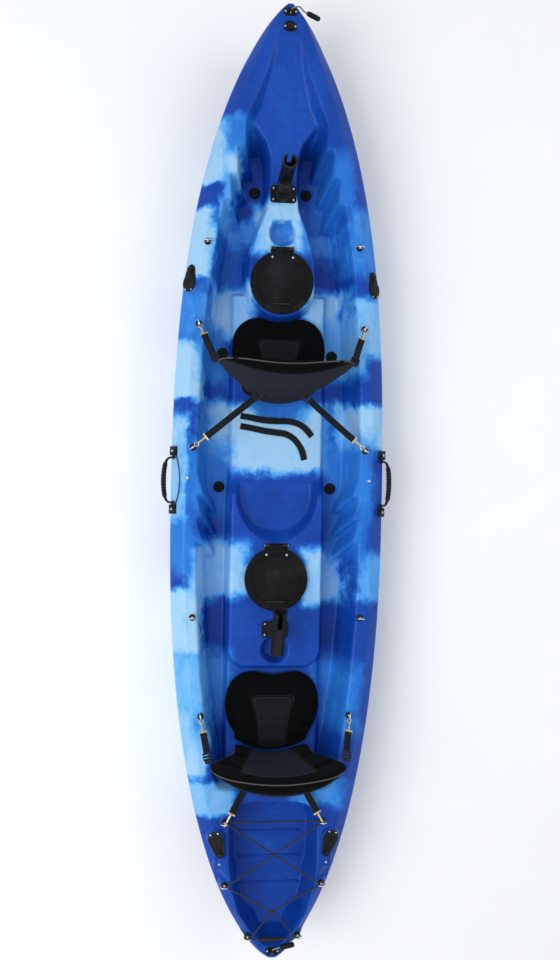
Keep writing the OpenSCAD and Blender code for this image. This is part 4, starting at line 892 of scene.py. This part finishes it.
def stuffed(name, node, held):
    """A pad blown up from the form of a CAD node; held picks the points that stay where they are."""
    piece = bpy.data.objects.new(name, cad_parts[node].data.copy())
    bpy.context.scene.collection.objects.link(piece)
    remesh = piece.modifiers.new("remesh", "REMESH")
    remesh.mode = "VOXEL"
    remesh.voxel_size = VOXEL
    frozen(piece)
    for turn in range(3):
        smooth = piece.modifiers.new("smooth", "SMOOTH")
        smooth.factor = 0.5
        smooth.iterations = 2
    frozen(piece)
    start = coordinates(piece)
    fixed = held(start)
    start = np.where(fixed[:, None], start, start - SHRINK * normals(piece))
    set_coordinates(piece, start)
    group = piece.vertex_groups.new(name="held")
    group.add([int(i) for i in np.flatnonzero(fixed)], 1.0, "ADD")
    cloth = piece.modifiers.new("cloth", "CLOTH")
    cloth.settings.use_pressure = True
    cloth.settings.uniform_pressure_force = 4
    cloth.settings.effector_weights.gravity = 0
    cloth.settings.vertex_group_mass = "held"
    cloth.settings.quality = 4
    for step in range(1, 21):
        bpy.context.scene.frame_set(step)
    frozen(piece)
    bpy.context.scene.frame_set(1)
    move = coordinates(piece) - start
    size = np.maximum(1e-9, np.linalg.norm(move, axis=1))[:, None]
    set_coordinates(piece, start + move * np.minimum(1, SWELL / size))
    finer = piece.modifiers.new("finer", "SUBSURF")
    finer.levels = finer.render_levels = 1
    frozen(piece)
    piece.data.polygons.foreach_set("use_smooth", [True] * len(piece.data.polygons))
    return piece


def knit(place, scale, tree):
    """Height of a fine knitted cloth: ribs that cross along each pair of axes."""
    line = tree.node("ShaderNodeSeparateXYZ", None, {"Vector": place})
    ribs = [tree.math("SINE", line.out(name) * scale) for name in ("X", "Y", "Z")]
    return ribs[0] * ribs[1] + ribs[1] * ribs[2] + ribs[2] * ribs[0]


BLACK_CLOTH = (0.0022, 0.0026, 0.0032, 1)
GREY_CLOTH = (0.012, 0.0125, 0.014, 1)
CHARCOAL = (0.016, 0.020, 0.028, 1)
THREAD = (0.050, 0.050, 0.054, 1)
STITCH = 0.006


def cloth_finish(name, colour, layout):
    """Knitted seat cloth; layout gives, from the object's own x, y and z, where the second colour shows, the
    distance from the seam between them and the distance along it."""
    finish, tree, spot = new_finish(name, Sheen_Weight=0.02, Sheen_Roughness=0.5, Specular_IOR_Level=0.03)
    axes = tree.node("ShaderNodeSeparateXYZ", None, {"Vector": spot})
    mask, seam, along = layout(tree, axes, axes.out("Y"), axes.out("Z"))
    weave = knit(spot, 2600.0, tree)
    lint = tree.noise(spot, 40.0, 4.0, 0.6)
    base = tree.mix(mask, BLACK_CLOTH, colour)
    base = tree.mix(lint.step(0.5, 0.85) * 0.06, base, (0.030, 0.030, 0.034, 1))
    base = tree.mix(weave.step(-0.6, 1.4) * 0.07, base, (0.026, 0.027, 0.030, 1))
    row = 1 - abs(abs(seam) - 0.004).step(0.0005, 0.0010)
    stitches = row * tree.math("SINE", along * (2 * math.pi / STITCH)).step(-0.4, 0.0)
    feed(finish, Base_Color=tree.mix(stitches, base, THREAD), Roughness=0.80 + lint * 0.15,
         Normal=tree.bump(weave * 0.5 + lint + stitches * 1.5, 0.35, 0.0008))
    return finish


WAIST_HALF = 0.054
WAIST_FLARE = 0.031
WAIST_BACK = 0.105
WAIST_RUN = 0.150
WAIST_END = 1.2


def waist(y):
    """Half width of the grey panel at a distance ahead of the cushion's middle."""
    return WAIST_HALF + WAIST_FLARE * np.clip((y + WAIST_BACK) / WAIST_RUN, -WAIST_END, WAIST_END) ** 2


PANEL_FRONT = 0.058
PANEL_CORNER = 0.030
piping_finish = braid_finish("black_piping", (0.003, 0.003, 0.0035, 1), (0.014, 0.014, 0.016, 1))
seats = {}
for seat in ("front", "rear"):
    node = f"{seat}_seat_cushion"
    low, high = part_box(node)
    middle = (low + high) / 2
    cushion = stuffed(f"{seat}_cushion", node, lambda p: p[:, 2] < low.z + 0.006)
    at = coordinates(cushion)
    out = normals(cushion)
    ahead = at[:, 1] - middle.y
    seam = join(np.abs(at[:, 0]) - waist(ahead), ahead - PANEL_FRONT, PANEL_CORNER)
    upper = out[:, 2] > 0.3
    dent = 0.0045 * np.exp(-(seam / 0.0045) ** 2) * upper
    quilt = 0.0016 * np.cos(np.clip(ahead, -1, 1) * 2 * math.pi / 0.034) * (seam < -0.006) * upper
    set_coordinates(cushion, at - out * (dent + quilt)[:, None])

    def panel(tree, x, y, z, middle=middle):
        ahead = y - middle.y
        flare = tree.math("MAXIMUM", (ahead + WAIST_BACK) / WAIST_RUN, -WAIST_END)
        flare = tree.math("MINIMUM", flare, WAIST_END)
        sides = abs(x) - (WAIST_HALF + WAIST_FLARE * flare * flare)
        edge = tree.math("SMOOTH_MAX", sides, ahead - PANEL_FRONT, 1.5 * PANEL_CORNER)
        upper = z.step(PAN_Z + 0.020, PAN_Z + 0.028)
        return (1 - edge.step(-0.002, 0.001)) * upper, edge + (1 - upper), x + y

    cloth = cloth_finish(f"{seat}_cushion_cloth", GREY_CLOTH, panel)
    fit(cushion, cloth, "hull", node)
    seats[seat] = (middle, cloth)
    line = edge_line(cushion, np.array(middle), (0, 1), 120)
    piping = tube(f"{seat}_cushion_piping", line, PIPING_R, closed=True, sides=10)
    fit(piping, piping_finish, "hull")


# Backrests: taller foam pads with two sewn channels, black in front with a grey quilted trapezoid, charcoal
# behind, bound with a pale corded edge. The straps hold them up; they hinge at their foot.
BACK_FOOT = PAN_Z + 0.008
BACK_HEIGHT = 0.412
BACK_HALF = 0.266
BACK_WRAP = 0.075
BACK_THICK = 0.044
BACK_Y = {"front": 0.330, "rear": -1.117}
BACK_LEAN = {"front": math.radians(10), "rear": math.radians(-4)}


def back_half(v):
    return BACK_HALF * np.interp(v, [0, 0.3, 0.55, 0.72, 0.88, 1], [0.56, 0.64, 0.88, 1, 0.97, 0.78])


def back_middle(seat, u, v):
    """Station of the backrest's middle surface at shares of its width and height."""
    return (BACK_Y[seat] + BACK_WRAP * u**2 * back_half(v) / BACK_HALF
            + v * BACK_HEIGHT * math.tan(BACK_LEAN[seat]))


TRAPEZOID = 0.066
TRAPEZOID_FLARE = 0.080
TRAPEZOID_RUN = 0.75
PANEL_TOP = 0.76
CHANNELS = (0.36, 0.66)
binding_finish = braid_finish("tan_piping", (0.030, 0.027, 0.023, 1), (0.10, 0.09, 0.075, 1))
for seat in ("front", "rear"):
    node = f"{seat}_seat_back"
    back = stuffed(f"{seat}_backrest", node, lambda p: p[:, 2] < BACK_FOOT + 0.010)
    at = coordinates(back)
    out = normals(back)
    v = (at[:, 2] - BACK_FOOT) / BACK_HEIGHT
    u = at[:, 0] / back_half(np.clip(v, 0, 1))
    ahead = at[:, 1] - back_middle(seat, u, v) > 0
    grey_half = TRAPEZOID + TRAPEZOID_FLARE * np.clip(v / TRAPEZOID_RUN, 0, 1)
    seam = np.maximum(np.abs(at[:, 0]) - grey_half, (v - PANEL_TOP) * BACK_HEIGHT)
    dent = 0.004 * np.exp(-(seam / 0.004) ** 2) * ahead
    quilt = 0.0022 * (1 - np.abs(np.sin(v * BACK_HEIGHT * math.pi / 0.036))) ** 3 * (seam < -0.005) * ahead
    channel = sum(0.0035 * np.exp(-((v - level) * BACK_HEIGHT / 0.006) ** 2) for level in CHANNELS)
    set_coordinates(back, at - out * (dent + quilt + channel * ((seam > 0.004) & ahead))[:, None])
    behind = (back_middle(seat, u, v) - at[:, 1] > 0.006) & (np.abs(u) < 0.94) & (v > 0.06) & (v < 0.96)
    group = back.vertex_groups.new(name="behind")
    group.add([int(i) for i in np.flatnonzero(behind)], 1.0, "ADD")
    even = back.modifiers.new("even", "SMOOTH")
    even.vertex_group = "behind"
    even.iterations = 70
    frozen(back)

    def front_panel(tree, x, y, z, seat=seat):
        v = (z - BACK_FOOT) / BACK_HEIGHT
        half = TRAPEZOID + TRAPEZOID_FLARE * tree.math("MINIMUM", v / TRAPEZOID_RUN, 1.0)
        edge = tree.math("MAXIMUM", abs(x) - half, (v - PANEL_TOP) * BACK_HEIGHT)
        wrap = BACK_WRAP * (x / BACK_HALF) * (x / BACK_HALF)
        depth = y - BACK_Y[seat] - wrap - v * (BACK_HEIGHT * math.tan(BACK_LEAN[seat]))
        ahead = depth.step(0.0, 0.004)
        grey = (1 - edge.step(-0.002, 0.001)) * ahead
        return tree.math("MAXIMUM", grey, 1 - depth.step(-0.008, -0.002)), edge + (1 - ahead), x + z

    cloth = cloth_finish(f"{seat}_backrest_cloth", CHARCOAL, front_panel)
    fit(back, cloth, f"{seat}_back", node)
    middle = np.array([0, back_middle(seat, 0, 0.55), BACK_FOOT + 0.55 * BACK_HEIGHT])
    line = edge_line(back, middle, (0, 2), 160)
    piping = tube(f"{seat}_backrest_piping", line, PIPING_R, closed=True, sides=10, upward=(0, 1, 0))
    fit(piping, binding_finish, f"{seat}_back")

# Cushion tongues: low padded flaps of the cushions' cloth, sewn to the back of each cushion. They lie on
# the seat pan and stop just ahead of the backrest's foot.
TONGUE_GAP = {"front": 0.027, "rear": 0.021}
TONGUE_HIGH = 0.028
TONGUE_LAP = 0.080
TONGUE_ROWS = 25
TONGUE_COLUMNS = 49
share_x, share_y = (part.ravel() for part in np.meshgrid(np.linspace(-1, 1, TONGUE_COLUMNS),
                                                         np.linspace(0, 1, TONGUE_ROWS)))
puff = TONGUE_HIGH * np.sqrt(1 - share_x**8) * (1 - 0.5 * (1 - share_y) ** 6)
top = grid_faces(TONGUE_ROWS, TONGUE_COLUMNS)
under = len(puff)
spots = np.arange(under).reshape(TONGUE_ROWS, TONGUE_COLUMNS)
rim = np.concatenate([spots[0, :-1], spots[:-1, -1], spots[-1, :0:-1], spots[:0:-1, 0]])
sides = [(a, a + under, b + under, b) for a, b in zip(rim, np.roll(rim, -1))]
for seat, (middle, cloth) in seats.items():
    foot = back_middle(seat, share_x, 0) + TONGUE_GAP[seat]
    flat = np.stack([back_half(0) * share_x, foot + (middle.y - TONGUE_LAP - foot) * share_y,
                     np.full(under, PAN_Z + 0.001)], 1)
    points = np.concatenate([flat + np.outer(puff, (0, 0, 1)), flat])
    tongue = new_piece(f"{seat}_cushion_tongue", points, [*top, *(top[:, ::-1] + under), *sides])
    fit(tongue, cloth, "hull")


# Straps: black woven webbing from a snap hook at the gunwale to a buckle on the backrest, slightly slack.
# Two spare ends lie on the pan behind the front seat.
def spread(points, per_span):
    """A smooth line through points."""
    points = [np.array(p, float) for p in points]
    padded = [2 * points[0] - points[1]] + points + [2 * points[-1] - points[-2]]
    line = []
    for a, b, c, d in zip(padded, padded[1:], padded[2:], padded[3:]):
        for t in np.arange(per_span) / per_span:
            line.append(0.5 * (2 * b + (c - a) * t + (2 * a - 5 * b + 4 * c - d) * t**2
                               + (3 * b - a - 3 * c + d) * t**3))
    return np.array(line + [points[-1]])


# webbing section: half widths and heights of its rounded selvedge, as shares
SELVEDGE = [(-1, 0), (-0.96, 0.8), (-0.5, 1), (0, 1), (0.5, 1), (0.96, 0.8), (1, 0), (0.96, -0.8),
            (0.5, -1), (0, -1), (-0.5, -1), (-0.96, -0.8)]


STRAP_WIDTH = 0.026
STRAP_THICK = 0.002


def webbing(name, points):
    """Flat webbing that follows points, with its faces level across."""
    section = np.array(SELVEDGE) * np.array([STRAP_WIDTH, STRAP_THICK]) / 2
    return swept(name, points, section, np.append(section[:, 0], section[0, 0]))


webbing_finish, shade, place = new_finish("woven_webbing", Sheen_Weight=0.03, Specular_IOR_Level=0.08)
measure = shade.node("ShaderNodeUVMap", {"uv_map": "measure"})
line = shade.node("ShaderNodeSeparateXYZ", None, {"Vector": measure})
warp = abs(shade.math("SINE", line * (math.pi / 0.0013)))
weft = abs(shade.math("SINE", line.out("Y") * (math.pi / 0.0018) + line * 2400.0))
fuzz = shade.noise(place, 90.0, 4.0)
weave = warp * 0.6 + weft * 0.4
web_colour = shade.mix(weave * 0.6 + fuzz * 0.3, (0.003, 0.0035, 0.0045, 1), (0.016, 0.018, 0.022, 1))
feed(webbing_finish, Base_Color=web_colour, Roughness=0.62 + fuzz * 0.2,
     Normal=shade.bump(weave, 0.5, 0.0006))

HOOK_LENGTH = 0.052
BUCKLE_LENGTH = 0.034
RING_R = 0.015
RING_LIFT = 0.020
SAG = 0.005
STRAP_OFF = 0.004
STRAP_OUT = 0.006
# seat, anchor, height and width shares on the backrest, and whether it meets the front or the rear face
STRAPS = [("front", 1, 0.68, 1.0, 1), ("front", 2, 0.42, 0.42, -1), ("rear", 4, 0.68, 1.0, 1),
          ("rear", 5, 0.42, 0.42, -1)]


def anchor_ring(number, side):
    """Middle of a deck ring."""
    y, inset_at = ANCHORS[number]
    return np.array([side * (half_beam(y) - inset_at), y, sheer(y) + PAD_LIFT + RING_LIFT])


def back_thickness(u, v):
    waists = sum(0.28 * math.exp(-((v - level) / 0.02) ** 2) for level in CHANNELS)
    return BACK_THICK * math.sqrt(max(0.03, 1 - abs(u) ** 4)) * (1 - waists)


for number, (seat, anchor, v, u, face) in enumerate(STRAPS):
    for side, hand in ((-1, "left"), (1, "right")):
        gap = STRAP_OFF if face > 0 else -back_thickness(u, v) / 2 - STRAP_OFF
        across = back_half(v) * u + (STRAP_OUT if face > 0 else 0)
        end = np.array([side * across, back_middle(seat, u, v) + gap, BACK_FOOT + v * BACK_HEIGHT])
        ring_middle = anchor_ring(anchor, side)
        hold = ring_middle + (np.array([0, 0, RING_R]) if anchor == 5 else RING_R * unit(end - ring_middle))
        way = unit(end - hold)
        a = hold + way * HOOK_LENGTH
        b = end - way * BUCKLE_LENGTH
        shares = np.linspace(0, 1, 25)
        route = [a + (b - a) * t - np.array([0, 0, SAG * math.sin(math.pi * t)]) for t in shares]
        route = [a - way * 0.004] + route + [b + way * 0.006]
        strap = webbing(f"{seat}_strap_{number % 2}_{hand}", np.array(route))
        paint(webbing_finish, strap)
        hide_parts(f"{seat}_seat_straps")
        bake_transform(strap)

TAILS = [
    [(-0.150, 0.268, 0), (-0.110, 0.262, 0), (-0.070, 0.254, 0.005), (-0.030, 0.250, 0.009),
     (0.010, 0.250, 0.005), (0.050, 0.250, 0), (0.090, 0.240, 0), (0.122, 0.218, 0.004), (0.146, 0.190, 0)],
    [(-0.150, 0.226, 0), (-0.100, 0.218, 0), (-0.050, 0.208, 0.004), (0.000, 0.202, 0.007),
     (0.040, 0.196, 0.003), (0.072, 0.178, 0), (0.094, 0.152, 0), (0.108, 0.122, 0.005), (0.116, 0.092, 0)],
]
for number, points in enumerate(TAILS):
    points = np.array(points) + np.array([0, 0, PAN_Z + STRAP_THICK / 2])
    tail = webbing(f"strap_tail_{number}", spread(points, 5))
    fit(tail, webbing_finish, "hull", "strap_tails")


# Bungee: black braided shock cord laced through the rings over the tank well, and a thinner one behind the
# port handle for a paddle. The ends are clamped, so neither hangs free.
bungee_finish = braid_finish("braided_bungee", (0.005, 0.005, 0.006, 1), (0.035, 0.035, 0.040, 1))
BUNGEE_R = 0.003
WIRE_R = 0.0022
LACE_R = WIRE_R + BUNGEE_R + 0.0008
CROSS_GAP = BUNGEE_R + 0.002


def lace_turn(number, side, aft):
    """Half turn of the bungee round a ring."""
    return [anchor_ring(number, side) + np.array([
        side * (LACE_R * math.cos(a) - RING_R), LACE_R * math.sin(a) * aft, 0])
        for a in np.linspace(math.pi / 2, -math.pi / 2, 13)]


def lace_cross(first, second, lift):
    """Where two runs cross on the centreline."""
    middle = (anchor_ring(first, 1) + anchor_ring(second, -1)) / 2
    return [np.array([0, middle[1], middle[2] + lift])]


lacing = (lace_turn(5, 1, 1) + lace_cross(5, 6, CROSS_GAP) + lace_turn(6, -1, 1)
          + lace_cross(6, 7, CROSS_GAP) + lace_turn(7, 1, 1) + lace_turn(7, -1, -1)
          + lace_cross(6, 7, -CROSS_GAP) + lace_turn(6, 1, -1) + lace_cross(5, 6, -CROSS_GAP)
          + lace_turn(5, -1, -1))
route = []
for a, b in zip(lacing, lacing[1:] + lacing[:1]):
    pieces = max(1, int(np.linalg.norm(b - a) / 0.02))
    route += [a + (b - a) * i / pieces for i in range(pieces)]
bungee = tube("tank_lacing", np.array(route), BUNGEE_R, closed=True)
fit(bungee, bungee_finish, "hull", "tank_bungee")

PADDLE_R = 0.002
CAP_END = CAP_Y - 0.018
run = CAP_END - 0.004
route = []
for y in np.linspace(CAP_END, -CAP_END, 40):
    inward = HANDLE_IN + 0.004 + 0.014 * (1 - min(1, abs(y) / run) ** 2)
    route.append((inward - half_beam(0), y, rim_top(0, inward) + 0.008))
paddle_cord = tube("paddle_keeper", np.array(route), PADDLE_R)
fit(paddle_cord, bungee_finish, "hull", "paddle_bungee")

# Toggle cords: short lengths of grey braided line from the saddle at each end to a moulded grip that is
# bored for the knot.
TOGGLE_R = 0.003
cord_finish = braid_finish("braided_line", (0.10, 0.10, 0.105, 1), (0.24, 0.24, 0.25, 1))
CORD_LIFT = END_PAD_LIFT + 0.0074
LEAD = 0.014
bow_z = float(sheer(BOW_EYE_Y)) + CORD_LIFT
stern_z = float(sheer(STERN_EYE_Y)) + CORD_LIFT
bow_way = unit(np.array([48, -12, -16]))
stern_way = unit(np.array([48, 10, 0]))
bow_grip = np.array([0.066, BOW_EYE_Y + 0.008, bow_z - 0.024])
stern_grip = np.array([0.030, STERN_EYE_Y + 0.016, stern_z + 0.0036])
ROUTES = {
    "bow": [(0, BOW_EYE_Y - 0.010, bow_z), (0, BOW_EYE_Y, bow_z), (0.003, BOW_EYE_Y + 0.008, bow_z),
            (0.016, BOW_EYE_Y + 0.015, bow_z + 0.001), (0.034, BOW_EYE_Y + 0.018, bow_z - 0.001),
            bow_grip - LEAD * bow_way, bow_grip],
    "stern": [(0, STERN_EYE_Y - 0.010, stern_z), (0, STERN_EYE_Y, stern_z),
              (0.004, STERN_EYE_Y + 0.008, stern_z + 0.001), stern_grip - LEAD * stern_way, stern_grip],
}
for end, points in ROUTES.items():
    route = spread(points, 5 if end == "bow" else 7)
    cord = tube(f"{end}_line", route, TOGGLE_R)
    fit(cord, cord_finish, "hull", f"{end}_toggle_cord")

# Floor: a plain pale sheet under the keel, wide enough to fill the picture.
FLOOR_HALF = 14.0
floor_z = cad_box[0][2] - 0.001
floor = new_piece("floor", [(-FLOOR_HALF, -FLOOR_HALF, floor_z), (FLOOR_HALF, -FLOOR_HALF, floor_z),
                            (FLOOR_HALF, FLOOR_HALF, floor_z), (-FLOOR_HALF, FLOOR_HALF, floor_z)],
                  [(0, 1, 2, 3)])
floor_finish, shade, place = new_finish("pale_floor", Roughness=0.9)
mottle = shade.noise(place, 3.0)
feed(floor_finish, Base_Color=shade.mix(mottle, (0.88, 0.885, 0.89, 1), (0.915, 0.92, 0.925, 1)))
paint(floor_finish, floor)

# Light: a large soft lamp on the port side towards the stern, a weaker one to starboard, and an even pale
# sky.
world = bpy.data.worlds.new("studio")
bpy.context.scene.world = world
world.use_nodes = True
sky = world.node_tree.nodes["Background"]
sky.inputs["Color"].default_value = (0.93, 0.96, 1.0, 1)
sky.inputs["Strength"].default_value = 0.66


def lamp(name, place, target, size, power):
    """Soft rectangular lamp aimed at a point."""
    light = bpy.data.lights.new(name, "AREA")
    light.size = size
    light.energy = power
    holder = bpy.data.objects.new(name, light)
    holder.location = place
    holder.rotation_euler = (Vector(target) - Vector(place)).to_track_quat("-Z", "Y").to_euler()
    holder.visible_camera = False
    bpy.context.scene.collection.objects.link(holder)


lamp("key", (-3.0, -1.0, 4.6), (0, 0, 0.2), 3.6, 185)
lamp("fill", (3.5, 1.5, 4.0), (0, 0, 0.2), 3.5, 55)

# Camera: straight above the boat, a little to port, with the bow at the top of the picture.
PICTURE_HEIGHT = 960
FOCAL_PIXELS = 925
PORT_TILT = math.radians(6.0)
YAW = math.radians(1.1)
AIM = Vector((0.014, 0.008, 0.200))
DISTANCE = 3.775
camera = bpy.data.cameras.new("above")
camera.sensor_fit = "VERTICAL"
camera.sensor_height = 24
camera.lens = 24 * FOCAL_PIXELS / PICTURE_HEIGHT
back = Vector((-math.sin(PORT_TILT), 0, math.cos(PORT_TILT)))
level = Vector((math.cos(PORT_TILT), 0, math.sin(PORT_TILT)))
right = math.cos(YAW) * level + math.sin(YAW) * Vector((0, 1, 0))
up = -math.sin(YAW) * level + math.cos(YAW) * Vector((0, 1, 0))
holder = bpy.data.objects.new("above", camera)
turned = Matrix((right, up, back)).transposed().to_4x4()
holder.matrix_world = Matrix.Translation(AIM + DISTANCE * back) @ turned
bpy.context.scene.collection.objects.link(holder)
bpy.context.scene.camera = holder

bpy.context.scene.view_settings.view_transform = "Standard"
